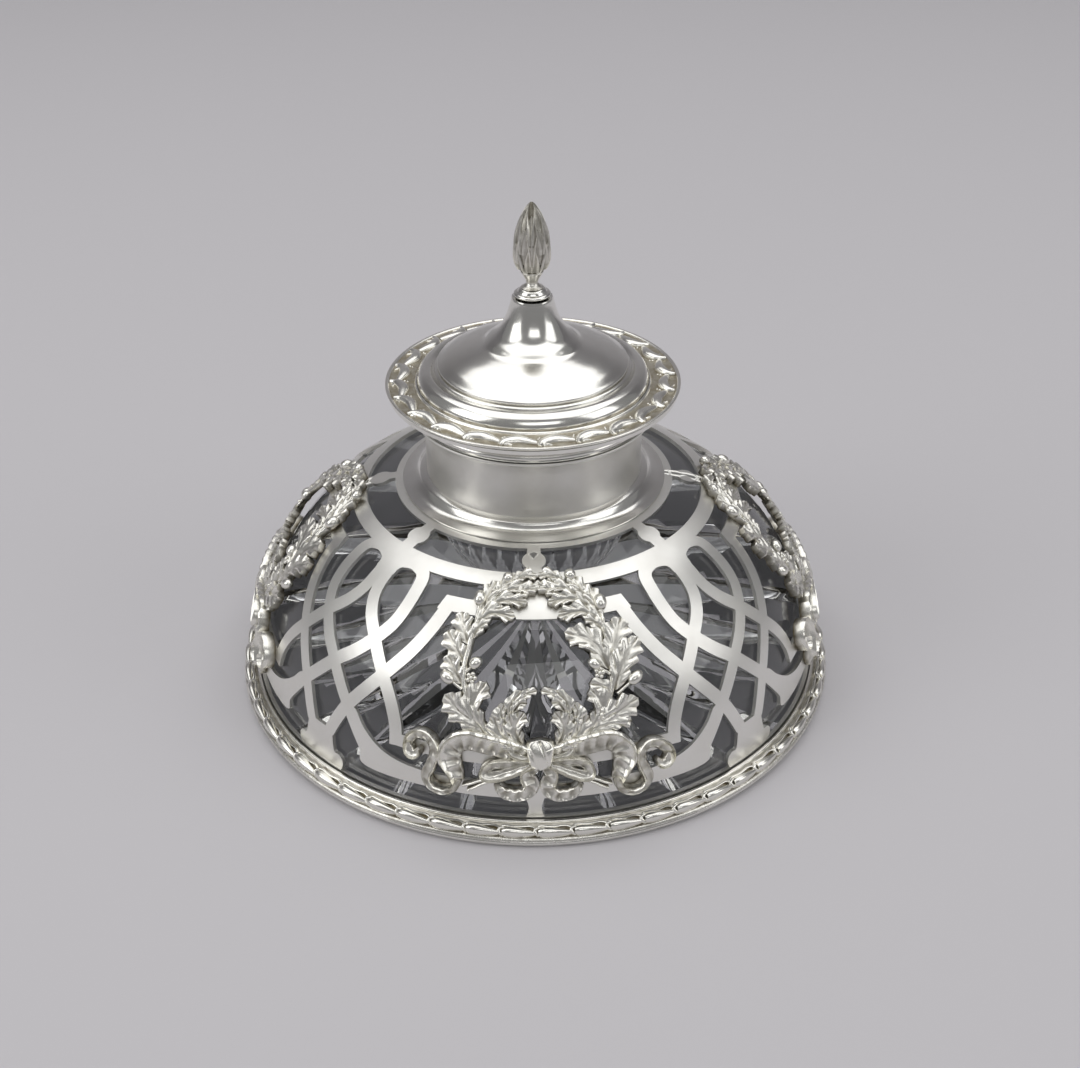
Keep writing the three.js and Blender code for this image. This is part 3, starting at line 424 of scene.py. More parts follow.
# A lobed leaf with a sunk midrib: it narrows to its stalk, and its lobes point forwards
def addLeaf(bm, surface, line, width, lobes=3, peak=1.7, curl=0.5, foot=0.05):
    along = 8 * lobes + 4

    def envelope(part):
        return (0.2 + 0.8 * sin(pi * min(part * 0.88 + 0.1, 1)) ** 0.75) * (1 - part ** 7)

    def halfWidth(part):
        return width / 2 * envelope(part) * (0.66 + 0.4 * roundLobe(part, lobes))

    def lift(side, part):
        out = abs(side)
        lobe = roundLobe(part - 0.04 * out, lobes)
        crown = sqrt(max(1 - 0.85 * out ** 2.4, 0))
        rib = 0.6 * exp(-(side / 0.2) ** 2) * (1 - part * 0.6)
        puff = (0.1 * lobe - 0.55 * (1 - lobe) ** 1.3) * min(out * 1.5, 1) ** 1.5 * (1 if 0.06 < part < 0.97 else 0)
        body = (0.4 + 0.4 * crown + 0.28 * out ** 2) * (0.5 + 0.5 * sin(pi * min(part * 0.9 + 0.12, 1)))
        return max(0.3 + foot + peak * body - rib + puff + curl * part ** 3, foot + 0.15)

    def ahead(side, part):
        return 0.2 * abs(side) ** 1.2 * envelope(part)

    addRelief(bm, surface, line, halfWidth, lift, across=12, along=along, foot=foot, ahead=ahead,
              peak=peak + 0.5 + curl * 0.3)


def addStem(bm, surface, line, start, end, peak, along=30, foot=0.05):
    addRelief(
        bm, surface, line, lambda part: (start + (end - start) * part) / 2,
        lambda side, part: foot + 0.25 + peak * sqrt(max(1 - 0.9 * side * side, 0)) * (1 + 0.12 * sin(31 * part)),
        across=6, along=along, foot=foot)


def turnedCopies(bm, count):
    whole = bm.verts[:] + bm.edges[:] + bm.faces[:]
    for index in range(1, count):
        copy = bmesh.ops.duplicate(bm, geom=whole)["geom"]
        verts = [item for item in copy if isinstance(item, bmesh.types.BMVert)]
        bmesh.ops.rotate(bm, cent=(0, 0, 0), matrix=Matrix.Rotation(2 * pi * index / count, 3, "Z"), verts=verts)


# Glass body

glass = {
    "neckRadius": 20, "neckHeight": 12, "boreRadius": 16.5, "wellRadius": 21, "wellDepth": 45, "mouthRound": 0.9,
    "starRadius": 46, "starNotch": 22, "starDepth": 1.6, "starRays": 24,
}


def makeGlassBody():
    inset = -dome["sheet"] - dome["glassGap"]
    shoulder = domeSpot(0, inset)[1]
    top = shoulder + glass["neckHeight"]
    outer = [domeSpot(67.2 - 67.2 * step / 56, inset) for step in range(57)]
    bottom = top - glass["wellDepth"]
    middle = bottom + glass["wellRadius"]
    well = []
    for step in range(33):
        angle = pi / 2 * 0.42 - (pi / 2 * 1.42) * step / 32
        well.append((glass["wellRadius"] * cos(angle), middle + glass["wellRadius"] * sin(angle)))
    base = [(glass["starRadius"] * step / 20, 0) for step in range(21)]
    base[0] = (0.001, 0)
    neck, bore, soft = glass["neckRadius"], glass["boreRadius"], glass["mouthRound"]
    corners = filleted([
        (outer[-1][0], shoulder), (neck, shoulder, 0.8), (neck, top, soft), (bore, top, soft),
        (bore, well[0][1] + 2.5, 1.2), well[0],
    ])
    profile = base + [(outer[0][0] - 1.2, 0), (outer[0][0], 0.5)] + outer[1:-1] + corners + well[1:-1] + [(0.001, bottom)]
    bm = turnedShape(profile, steps=192)
    pitch = 2 * pi / glass["starRays"]
    reach, notch, depth = glass["starRadius"], glass["starNotch"], glass["starDepth"]
    slope = (1 - notch * cos(pitch / 2) / reach) / (notch * sin(pitch / 2))
    for vert in bm.verts:
        radius = hypot(vert.co.x, vert.co.y)
        if vert.co.z < 0.01 and radius < reach:
            turn = abs((atan2(vert.co.x, -vert.co.y) + pitch / 2) % pitch - pitch / 2)
            vert.co.z = depth * max(1 - radius * (cos(turn) / reach + sin(turn) * slope), 0)
    return finishPiece("glassDome", bm, "glass", "base", "glass_body", sharpAngle=14)


makeGlassBody()
print("glass blown")


# Pierced overlay: straps drawn flat over a quarter, joined, cut into small cells and wrapped on the dome

overlay = {
    "strap": 2.75, "cellTurn": 2.5, "cellDown": 1.6,
    "flange": (-0.05, 0.0914), "band": (0.194, 0.246), "plate": (0.304, 0.353), "bowPlate": (0.762, 0.8025),
    "lowRing": (0.863, 0.9145), "skirt": (0.986, 1.052), "plateReach": 22,
    "tabNeck": 2.9, "tabLobe": 2.35, "upperTab": 6.4, "lowerTab": 3.8,
    "straps": {
        "outerLoop": [(12.6, 0.29), (12.4, 0.36), (11.1, 0.436), (8, 0.506), (4.2, 0.57), (0, 0.629), (-6.3, 0.739)],
        "innerLoop": [(1.5, 0.24), (1.65, 0.36), (3.9, 0.436), (8, 0.506), (12.8, 0.6), (15.9, 0.67), (17.8, 0.74),
                      (18.3, 0.8025)],
        "loopHead": [(12.6, 0.3), (12.2, 0.272), (10.6, 0.251), (7.1, 0.24), (3.5, 0.251), (1.95, 0.272), (1.6, 0.3)],
        "longStrap": [(22.8, 0.336), (20.7, 0.415), (17.6, 0.5), (12.8, 0.6), (6.3, 0.738), (2.6, 0.86)],
    },
    "sweepOut": [(6, 0.738), (8.4, 0.739), (10.9, 0.784), (14.7, 0.829), (19, 0.853), (24.5, 0.863)],
    "sweepIn": [(24.5, 0.9145), (12, 0.9145), (10.6, 0.866), (8.7, 0.822), (6.8, 0.781), (5.4, 0.75)],
    "corner": [(28, 0.304), (21.4, 0.304), (20.1, 0.353), (28, 0.353)],
    "bowPlateEnd": [(17, 0.762), (28, 0.762), (28, 0.8025), (17, 0.8025)],
    "post": [(3.4, 0.85), (4.1, 0.922), (5.2, 0.926), (6.1, 0.938), (6.4, 0.956), (6.1, 0.974), (5.5, 0.993)],
    "waist": [(0.5, 0.58), (0.44, 0.4), (0.36, 0.2), (0.33, 0), (0.36, -0.2), (0.44, -0.4), (0.5, -0.58)],
}
flatRadius = dome["topRadius"] + dome["bulge"] / 2


def stepAside(spot, across, down):
    reach = domeSpot(spot[1] * slopeLength, 0)[0]
    return (spot[0] + degrees(across / reach), spot[1] + down / slopeLength)


def strapOutline(line):
    walk, _ = walkLine(onDome, [(turn, share * slopeLength) for turn, share in line], 8 * (len(line) - 1))
    left, right = [], []
    for spot, heading, _ in walk:
        for side, edge in ((-1, left), (1, right)):
            out = side * overlay["strap"] / 2
            edge.append(stepAside((spot[0], spot[1] / slopeLength), -heading[1] * out, heading[0] * out))
    return left + right[::-1]


def lobedTab(turn):
    start, end = overlay["flange"][1], overlay["band"][0]
    middle = (turn, (start + end) / 2)
    neck, lobe = overlay["tabNeck"], overlay["tabLobe"]
    reach = (end - start) * slopeLength * 0.62
    neckAngle = asin(neck / (2 * lobe))
    outline = []
    for facing in (1, -1):
        outline.append(stepAside(middle, facing * neck / 2, -facing * reach))
        for step in range(15):
            angle = neckAngle + (pi - 2 * neckAngle) * step / 14
            outline.append(stepAside(middle, facing * lobe * sin(angle), -facing * lobe * cos(angle)))
        outline.append(stepAside(middle, facing * neck / 2, facing * reach))
    return outline


def waistedTab(turn, width, start, end):
    middle = (turn, (start + end) / 2)
    length = (end - start) * slopeLength
    edges = [[stepAside(middle, side * width * out, length * up) for out, up in overlay["waist"]] for side in (1, -1)]
    return edges[0] + edges[1][::-1]


def sheetOutlines():
    straps = [strapOutline(line) for line in overlay["straps"].values()]
    sweep = [tuple(point) for name in ("sweepOut", "sweepIn") for point in smoothPoints(overlay[name], 5)]
    halves = straps + [sweep, overlay["corner"], overlay["bowPlateEnd"]]
    outlines = [[(45 + side * turn, share) for turn, share in half] for half in halves for side in (1, -1)]
    post = [tuple(point) for point in smoothPoints(overlay["post"], 3)]
    outlines.append([(45 + turn, share) for turn, share in post] + [(45 - turn, share) for turn, share in post[::-1]])
    for name in ("flange", "band", "skirt"):
        top, low = overlay[name]
        outlines.append([(-3, top), (93, top), (93, low), (-3, low)])
    for name in ("plate", "bowPlate", "lowRing"):
        top, low = overlay[name]
        for start, end in ((-3, 45 - overlay["plateReach"]), (45 + overlay["plateReach"], 93)):
            outlines.append([(start, top), (end, top), (end, low), (start, low)])
    outlines += [lobedTab(turn) for turn in (0, 45, 90)]
    for turn in (0, 90):
        outlines.append(waistedTab(turn, overlay["upperTab"], overlay["band"][1], overlay["plate"][0]))
        outlines.append(waistedTab(turn, overlay["lowerTab"], overlay["lowRing"][1], overlay["skirt"][0]))
    return outlines


def flatPlate(outline):
    bm = bmesh.new()
    verts = [bm.verts.new((radians(turn) * flatRadius, -share * slopeLength, -dome["sheet"])) for turn, share in outline]
    edges = [bm.edges.new(pair) for pair in zip(verts, verts[1:] + verts[:1])]
    face = bmesh.ops.contextual_create(bm, geom=edges)["faces"]
    raised = bmesh.ops.extrude_face_region(bm, geom=face)["geom"]
    bmesh.ops.translate(bm, vec=(0, 0, dome["sheet"]), verts=[v for v in raised if isinstance(v, bmesh.types.BMVert)])
    bmesh.ops.recalc_face_normals(bm, faces=bm.faces[:])
    mesh = bpy.data.meshes.new("flatPlate")
    bm.to_mesh(mesh)
    bm.free()
    return bpy.data.objects.new("flatPlate", mesh)


def joinPlates(plates):
    group = bpy.data.collections.new("plates")
    bpy.context.scene.collection.children.link(group)
    first = plates[0]
    bpy.context.scene.collection.objects.link(first)
    for plate in plates[1:]:
        group.objects.link(plate)
    union = first.modifiers.new("union", "BOOLEAN")
    union.operation = "UNION"
    union.operand_type = "COLLECTION"
    union.collection = group
    union.solver = "EXACT"
    bpy.context.view_layer.update()
    joined = bpy.data.meshes.new_from_object(first.evaluated_get(bpy.context.evaluated_depsgraph_get()))
    for plate in plates:
        bpy.data.objects.remove(plate, do_unlink=True)
    bpy.data.collections.remove(group)
    return joined


def cutAcross(bm, place, facing, **values):
    bmesh.ops.bisect_plane(bm, geom=bm.verts[:] + bm.edges[:] + bm.faces[:], dist=0.00001, plane_co=place,
                           plane_no=facing, **values)


def makeOverlay():
    bm = bmesh.new()
    bm.from_mesh(joinPlates([flatPlate(outline) for outline in sheetOutlines()]))
    bmesh.ops.delete(bm, geom=[face for face in bm.faces if face.normal.z < 0.9], context="FACES")
    bmesh.ops.triangulate(bm, faces=bm.faces[:])
    wide = radians(90) * flatRadius
    for x, facing in ((0, -1), (wide, 1)):
        cutAcross(bm, (x, 0, 0), (facing, 0, 0), clear_outer=True)
    columns = int(90 / overlay["cellTurn"])
    for column in range(1, columns):
        cutAcross(bm, (wide * column / columns, 0, 0), (1, 0, 0))
    for row in range(int(70 / overlay["cellDown"])):
        cutAcross(bm, (0, 2 - overlay["cellDown"] * row, 0), (0, 1, 0))
    bmesh.ops.triangulate(bm, faces=[face for face in bm.faces if len(face.verts) > 4])
    under = bmesh.ops.extrude_face_region(bm, geom=bm.faces[:])["geom"]
    bmesh.ops.translate(bm, vec=(0, 0, -dome["sheet"]), verts=[v for v in under if isinstance(v, bmesh.types.BMVert)])
    for vert in bm.verts:
        vert.co = onDome(degrees(vert.co.x / flatRadius), -vert.co.y, vert.co.z)
    turnedCopies(bm, 4)
    return finishPiece("strapwork", bm, "sheet", "base", "pierced_overlay", sharpAngle=22)


makeOverlay()
print("overlay pierced")


# Foot: the plain rim and the cast border of reels above it

foot = {"inner": 62.9, "outer": 66.5, "rimHeight": 1.5, "borderBottom": 1.8, "borderHeight": 2.7, "reels": 58}


def onBorder(turn, down, lift):
    part = down / 4.1
    radius = foot["inner"] + 0.35 + 2.75 * part + lift * 0.62 + 0.3 * sin(pi * part)
    height = 4.35 - 2.35 * part + lift * 0.78 + 0.3 * sin(pi * part)
    return aroundAxis(radius, turn, height)


def makeFoot():
    inner, outer, rimHeight = foot["inner"], foot["outer"], foot["rimHeight"]
    bm = turnedShape(filleted([
        (inner, 0), (outer - 0.9, 0, 0.4), (outer - 0.4, 0.5, 0.4), (outer - 0.4, 1.1, 0.4), (outer - 0.8, rimHeight, 0.2),
        (inner, rimHeight),
    ]), steps=192)
    finishPiece("footRim", bm, "turned", "base", "base_rim")
    low, top = foot["borderBottom"] - 0.26, foot["borderBottom"] + foot["borderHeight"]
    bm = turnedShape(filleted([
        (inner, low), (outer - 0.25, low, 0.1), (outer, low + 0.3, 0.25), (outer - 0.35, low + 0.85, 0.3),
        (outer - 0.85, low + 0.82, 0.12), (inner + 1.3, top - 0.8, 0.4), (inner + 0.75, top - 0.5, 0.1),
        (inner + 0.6, top, 0.25), (inner + 0.05, top, 0.2),
    ]), steps=232)
    # relief of the turned border: the top wire stays bright, the plain lower band takes a little tarnish and painted
    # shade, the ground under the reels the most
    relief = bm.verts.layers.float.new("relief")
    for vert in bm.verts:
        radius = hypot(vert.co.x, vert.co.y)
        isPlain = radius > outer - 0.8 or radius < inner + 0.7
        vert[relief] = 0.5 if radius > outer - 0.8 else 0.9 if isPlain else 0.22 if radius < inner + 1.35 else 0.04
    motif = bmesh.new()
    pitch = 360 / foot["reels"]

    def place(share, down):
        return (share * pitch, down)

    addRelief(motif, onBorder, [place(0.08, 2.45), place(0.45, 2.6), place(0.98, 2.75)],
              lambda part: 0.42 + 0.86 * sin(pi * min(part ** 0.65 * 0.84 + 0.14, 1)) ** 0.7 * (1 - 0.2 * part),
              lambda side, part: 0.1 + (0.5 + 0.85 * sin(pi * min(part ** 0.75 * 0.8 + 0.18, 1)))
              * sqrt(max(1 - 0.95 * side * side, 0)), across=8, along=14, foot=-0.5, peak=1.35)
    addRelief(motif, onBorder, [place(0.03, 1.7), place(0.12, 1.1), place(0.5, 1.3), place(0.82, 1.15), place(1, 1.6)],
              lambda part: 0.27, lambda side, part: 0.2 + 0.36 * sqrt(max(1 - 0.9 * side * side, 0)),
              across=4, along=12, foot=-0.4, peak=0.5)
    addRelief(motif, onBorder, [place(0.12, 1.5), place(-0.01, 2.0), place(0.01, 2.8), place(0.1, 3.35)],
              lambda part: 0.36 * (0.7 + 0.5 * sin(pi * part)),
              lambda side, part: 0.2 + 0.6 * sqrt(max(1 - 0.9 * side * side, 0)), across=5, along=10, foot=-0.5, peak=0.75)
    turnedCopies(motif, foot["reels"])
    spare = bpy.data.meshes.new("reels")
    motif.to_mesh(spare)
    motif.free()
    bm.from_mesh(spare)
    finishPiece("footBorder", bm, "border", "base", "base_border", recalc=False)


makeFoot()
print("foot cast")


# Collar, its foot moulding and the plaster bed

collar = {"radius": 22.8, "wall": 1, "bottom": 46.9, "height": 15.8, "lip": 25.2}


def makeCollar():
    low, high = collar["bottom"], collar["bottom"] + collar["height"]
    wall = smoothPoints([(23.4, low), (23.0, low + 1.5), (22.9, low + 4), (22.95, low + 8), (23.1, low + 12),
                         (23.35, low + 14.1)], 5)
    lip = filleted([wall[-1][:], (23.5, low + 14.35, 0.1), (24.4, low + 14.75, 0.4), (collar["lip"], low + 15.1, 0.3),
                    (collar["lip"], high, 0.3), (collar["radius"] - collar["wall"], high)])
    bm = turnedShape([(21.8, low)] + [tuple(point) for point in wall] + lip[1:])
    finishPiece("collarTube", bm, "satin", "base", "collar")
    edge = domeSpot(4.13, 0.12)
    cove = smoothPoints([(22.95, 49.15), (23.6, 48.95), (24.3, 48.6), (24.75, 48.1), (25.5, 47.45), (26.6, 46.98), (edge[0], edge[1] + 0.28)], 5)
    seat = [domeSpot(down, 0.12) for down in (4.13, 2.5, 1, -0.2)]
    bm = turnedShape([tuple(point) for point in cove] + seat)
    finishPiece("collarCove", bm, "turned", "base", "collar_foot")


makeCollar()
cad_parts["neck_cement"].data.materials.clear()
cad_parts["neck_cement"].data.materials.append(finishes["plaster"])
print("collar turned")


# Lid: shell, bezel and the cast border of the brim

lid = {
    "brim": 30.2, "brimBottom": 67.6, "brimTop": 68.4, "shoulder": 24.1, "shoulderTop": 22.0, "step": 72.15,
    "bead": 20.2, "domeEdge": 19.3, "domeFoot": 73.6, "cone": 4.25, "coneFoot": 77.8, "top": 87.4,
    "plug": 21.5, "bezelBottom": 63, "curls": 24,
}


def onBrim(turn, out, lift):
    return aroundAxis(29.6 + (out - 3.5) * 1.4, turn, lid["brimTop"] + 0.35 + lift)


def makeLid():
    spread = lid["domeEdge"] - lid["cone"]
    domeLine = [(lid["domeEdge"], lid["domeFoot"])]
    domeLine += [(lid["cone"] + spread * out, lid["domeFoot"] + 4.2 * up) for out, up in
                 ((0.9, 0.24), (0.8, 0.42), (0.7, 0.585), (0.6, 0.72), (0.5, 0.84), (0.4, 0.965))]
    domeLine += [(lid["cone"] + spread * out, lid["coneFoot"] + 9.6 * up) for out, up in
                 ((0.32, 0.1), (0.235, 0.2), (0.175, 0.3), (0.122, 0.42), (0.078, 0.56), (0.042, 0.72), (0.016, 0.86), (0, 0.97))]
    shoulder = smoothPoints([
        (lid["shoulder"], lid["brimTop"] + 1.0), (24.05, 70.15), (23.65, 71.0), (22.95, 71.75), (lid["shoulderTop"], lid["step"]),
    ], 4)
    profile = [(lid["plug"], lid["brimBottom"]), (lid["brim"], lid["brimBottom"]), (lid["brim"], lid["brimTop"]),
               (lid["shoulder"], lid["brimTop"])]
    profile += [tuple(point) for point in shoulder]
    profile += [tuple(p) for p in filleted([
        (lid["shoulderTop"], lid["step"] + 0.02), (21.3, lid["step"] + 0.08, 0.35), (20.75, lid["step"] - 0.35, 0.15),
        (20.5, lid["step"] - 0.4, 0.05), (20.35, lid["step"] + 0.15, 0.15), (19.9, lid["step"] + 0.4, 0.2),
        (19.35, lid["step"] + 0.4, 0.05), (19.15, lid["step"] + 0.6, 0.05), (19.8, lid["step"] + 0.8, 0.15),
        (19.75, lid["step"] + 1.2, 0.15), domeLine[0],
    ])][1:-1]
    profile += [tuple(point) for point in smoothPoints(domeLine, 4)]
    profile += [(lid["cone"] - 0.12, lid["top"]), (1.2, lid["top"]), (1.2, lid["top"] - 1.1), (3.15, lid["top"] - 1.1)]
    profile += [tuple(point) for point in smoothPoints([(3.15, 85.5), (3.4, 82), (6.16, 76.7), (12, 74.6), (18.2, 72.5)], 4)]
    profile += [(lid["plug"], lid["step"] - 1.1)]
    finishPiece("lidDome", turnedShape(profile), "turned", "lid", "lid_shell", sharpAngle=38)

    low = lid["bezelBottom"]
    bm = turnedShape(filleted([
        (19.9, low - 2.5), (lid["plug"], low - 2.5, 0.3), (lid["plug"], low), (25.2, low, 0.2), (25.55, low + 0.9, 0.35),
        (25.3, low + 1.4, 0.1), (25.0, low + 1.6, 0.05), (25.3, low + 1.8, 0.1), (25.8, low + 2.5, 0.4), (25.75, low + 3.3, 0.4),
        (25.4, low + 4.0, 0.3), (25.4, low + 4.45, 0), (19.9, low + 4.3),
    ]))
    finishPiece("lidBezel", bm, "turned", "lid", "lid_bezel")

    bm = turnedShape(filleted([
        (24.18, 68.55), (30.35, 68.55, 0.2), (30.72, 68.95, 0.25), (30.6, 69.35, 0.22), (30.1, 69.3, 0.2),
        (29.75, 68.98, 0.15), (24.7, 68.9, 0.2), (24.45, 69.3, 0.15), (24.18, 69.4),
    ]))
    # relief of the brim: its rims stay bright, the ground between the curls takes tarnish and painted shade
    relief = bm.verts.layers.float.new("relief")
    for vert in bm.verts:
        radius = hypot(vert.co.x, vert.co.y)
        vert[relief] = 0.9 if radius > 29.95 or radius < 24.6 else 0.04
    motif = bmesh.new()
    pitch = 360 / lid["curls"]
    start = -5 - 0.5 * pitch
    def place(share, out):
        return (start + share * pitch, out)

    addRelief(motif, onBrim, [place(0.0, 3.5), place(0.04, 2.6), place(0.2, 1.95), place(0.5, 1.65), place(0.95, 2.3)],
              lambda part: 0.26 + 0.62 * sin(pi * min(part ** 0.85 * 0.86 + 0.08, 1)) ** 0.9,
              lambda side, part: 0.2 + (0.35 + 0.7 * sin(pi * min(part * 0.84 + 0.12, 1)))
              * sqrt(max(1 - 0.93 * side * side, 0)), across=8, along=16, foot=0.0, peak=1.05)
    addRelief(motif, onBrim, [place(0.1, 3.1), place(0.2, 2.95), place(0.32, 3.3)],
              lambda part: 0.26 * (1 - 0.5 * part), lambda side, part: 0.2 + 0.4 * sqrt(max(1 - 0.9 * side * side, 0)),
              across=4, along=6, foot=0.0, peak=0.6)
    for share, out, size in ((0.98, 1.35, 0.26), (0.02, 0.95, 0.22)):
        addBead(motif, onBrim, place(share, out), size, 0.25)
    turnedCopies(motif, lid["curls"])
    spare = bpy.data.meshes.new("curls")
    motif.to_mesh(spare)
    motif.free()
    bm.from_mesh(spare)
    finishPiece("brimBorder", bm, "brim", "lid", "lid_border", recalc=False)


makeLid()
print("lid spun")


# Finial: washer, turned stem and a closed bud of overlapping pointed leaves

bud = {
    "washerBottom": 87.7, "washerRadius": 4.1, "bottom": 89.4, "height": 17.75, "stud": 0.9,
    "profile": [(2.3, 89.4), (1.75, 89.7), (1.3, 90.2), (1.22, 90.6), (1.5, 91.3), (1.95, 92.1), (2.3, 92.7), (2.2, 93.05),
                (2.55, 93.7), (3.0, 94.7), (3.25, 96.2), (3.3, 97.9), (3.1, 99.8), (2.65, 101.7), (2.0, 103.6),
                (1.2, 105.4), (0.5, 106.6), (0.02, 107.1)],
}
budLine = smoothPoints(bud["profile"], 6)
budLengths = [0]
for budStart, budEnd in zip(budLine, budLine[1:]):
    budLengths.append(budLengths[-1] + (budEnd - budStart).length)


def onBud(turn, up, lift):
    index = min(max(bisect_left(budLengths, up), 1), len(budLine) - 1)
    low, high = budLine[index - 1], budLine[index]
    part = min(max((up - budLengths[index - 1]) / max(budLengths[index] - budLengths[index - 1], 1e-9), 0), 1)
    spot = low.lerp(high, part)
    along = (high - low).normalized()
    radius = max(spot[0] + along[1] * lift, 0.01)
    return aroundAxis(radius, turn, min(spot[1] - along[0] * lift, bud["bottom"] + bud["height"]))


def makeFinial():
    low = bud["washerBottom"]
    bm = turnedShape(filleted([
        (1.2, low), (3.6, low, 0.2), (3.85, low + 0.35, 0.25), (3.5, low + 0.7, 0.2), (3.0, low + 0.8, 0.1),
        (2.8, low + 1.2, 0.3), (2.4, low + 1.6, 0.3), (1.2, low + 1.6),
    ]), steps=72)
    finishPiece("finialDisc", bm, "turned", "lid", "finial_washer")
    stud = bud["stud"]
    profile = [(0.001, 83.1), (stud - 0.15, 83.1), (stud, 83.25), (stud, bud["bottom"])]
    bm = turnedShape(profile + [tuple(point) for point in budLine], steps=60)
    # relief of the finial: the stem stays bright, the bud under its petals takes tarnish and painted shade
    relief = bm.verts.layers.float.new("relief")
    for vert in bm.verts:
        vert[relief] = 0.85 if vert.co.z < 92.9 else 0.1
    petals = bmesh.new()
    total = budLengths[-1]
    rows = [  # start and end along the bud, leaves, width in degrees, first turn, lift
        (0.56, 0.99, 4, 100, 40, 0.1), (0.46, 0.86, 5, 74, 0, 0.16), (0.35, 0.72, 6, 62, 30, 0.22),
        (0.25, 0.56, 6, 60, 0, 0.28),
    ]
    for start, end, count, wide, first, raised in rows:
        for index in range(count):
            turn = first + index * 360 / count

            def halfWidth(part, wide=wide, start=start, end=end):
                up = (start + (end - start) * part) * total
                reach = (onBud(0.5, up, 0) - onBud(-0.5, up, 0)).length
                return reach * wide / 2 * (1 - part ** 1.8) ** 0.7

            def lift(side, part, raised=raised):
                edge = 0.45 * exp(-((abs(side) - 0.8) / 0.15) ** 2) + 0.1 * exp(-(side / 0.12) ** 2)
                return raised * (0.6 + 0.5 * part) + edge * (1 - part ** 4)

            addRelief(petals, onBud, [(turn, start * total), (turn, end * total)], halfWidth, lift,
                      across=14, along=12, foot=-0.3, peak=0.75)
    spare = bpy.data.meshes.new("petals")
    petals.to_mesh(spare)
    petals.free()
    bm.from_mesh(spare)
    finishPiece("finialFlower", bm, "bud", "lid", "finial_bud", recalc=False)


makeFinial()
print("finial made")


# Wreath: stems, lobed leaves and buds, each placed by degrees round and millimetres down the slope

wreath = {
    "stems": [
        [(-4.5, 47.5), (-8.5, 44.5), (-11.5, 41), (-13.8, 37), (-14.6, 33), (-14.4, 29), (-14, 25.5), (-12.6, 21.5),
         (-10, 18), (-6.5, 15.6), (-3, 14.4)],
        [(5, 47.5), (9.5, 44.8), (12.5, 41.5), (15, 37.8), (16.2, 33.5), (16.4, 29), (15.8, 24.5), (14, 20.5), (11, 17.3),
         (7.5, 15.5), (4, 14.4)],
    ],
    "leaves": [  # stalk, middle, tip, width, lobes
        [(-9.5, 44.2), (-13.8, 41.2), (-17.6, 38.4), 5.8, 4],
        [(-14.4, 36), (-16.4, 33.8), (-18.4, 30.9), 4.4, 3],
        [(-14.7, 32), (-17.2, 29.4), (-19.8, 26.6), 4.4, 3],
        [(-14.6, 28.5), (-16.4, 25.4), (-17.6, 22.6), 4.4, 3],
        [(-13, 22.4), (-12.2, 18.8), (-10.4, 15.4), 3.2, 3],
        [(-10.4, 18.6), (-8.2, 16), (-4.8, 13.6), 3.0, 3],
        [(-9.3, 44.6), (-11.9, 40.2), (-9.6, 35), 5.4, 4],
        [(-13.9, 27.4), (-12.8, 25.2), (-11, 23.8), 2.6, 2],
        [(-14, 25.3), (-10.5, 22.2), (-4.4, 22.6), 3.8, 4],
        [(-12.7, 21.9), (-8, 19.4), (-1.6, 19.6), 3.2, 4],
        [(-10.4, 18.8), (-5.5, 16.8), (0.4, 17), 3.0, 4],
        [(-6.6, 15.3), (-2.9, 13.9), (1.1, 14.3), 2.8, 3],
        [(-5.4, 18.6), (-2, 17), (1.5, 15.8), 2.8, 3],
        [(6.8, 18.4), (3.6, 16.8), (0.2, 15.4), 2.8, 3],
        [(9.8, 44.6), (15, 42), (20.2, 39.8), 5.6, 4],
        [(12, 43.6), (15.5, 43.4), (18.3, 43.9), 3.2, 2],
        [(15.8, 37.6), (18.8, 32.6), (23.2, 28.7), 5.4, 4],
        [(16.5, 32.2), (18.1, 28.2), (20.8, 24.4), 5.8, 3],
        [(16, 24.2), (15.4, 20), (14, 16.6), 3.4, 3],
        [(14, 20.2), (12.5, 17), (9.8, 14.4), 3.2, 3],
        [(10.2, 44.6), (12.9, 40.4), (11, 36.4), 5.0, 4],
        [(14.9, 38.6), (13.5, 36.5), (10.9, 35.7), 3.2, 2],
        [(15.6, 33.6), (12.8, 28.3), (6.8, 25.6), 5.4, 4],
        [(16, 26.4), (14, 24.3), (12, 23.5), 2.8, 2],
        [(15.7, 24.4), (11.8, 22), (5.6, 22.6), 3.8, 4],
        [(14, 21), (9.5, 19.2), (3.4, 19.6), 3.2, 4],
        [(12.4, 18.9), (7.5, 16.7), (1.6, 16.8), 3.0, 4],
        [(8.6, 15.4), (4.9, 13.8), (1, 14.2), 2.8, 3],
    ],
    "buds": [  # stalk, bud, radius, stretch
        [(-13.8, 24.2), (-14, 19.4), 1.25, 1.35], [(-8.8, 16.6), (-7.4, 14.5), 1.1, 1.1],
        [(-14, 33.6), (-12.2, 31.8), 1.15, 1.25], [(-14.4, 37), (-17.6, 35.2), 1.2, 1.4],
        [(16.4, 25), (16.8, 20.7), 1.3, 1.35], [(12, 16.8), (10.6, 14.1), 1.15, 1.1],
        [(15.4, 34.4), (12.5, 32.1), 1.15, 1.25], [(16.3, 38.3), (20.4, 36), 1.2, 1.5],
    ],
    "blossoms": [(-12.7, 34.6), (13.3, 33.9), (12.6, 41.6)],
    "sprays": [  # of the left half: stalk, middle, tip, width, lobes
        [(-2.3, 47.6), (-6.2, 44.7), (-7.7, 40.8), 4.2, 4],
        [(-2.3, 47), (-3.6, 43.6), (-2, 40.2), 4.2, 4],
        [(-4.7, 43.4), (-6.3, 41), (-5.6, 38.8), 3.2, 3],
        [(-4.5, 41.4), (-4.4, 38.8), (-2.4, 36.3), 2.8, 2],
        [(-4.1, 40.4), (-2.8, 38.7), (-1.4, 38.7), 2.4, 2],
        [(-3.2, 38.4), (-1.4, 36.8), (0.6, 36.3), 2.0, 2],
    ],
    "spraysMiddle": 0.9,
}


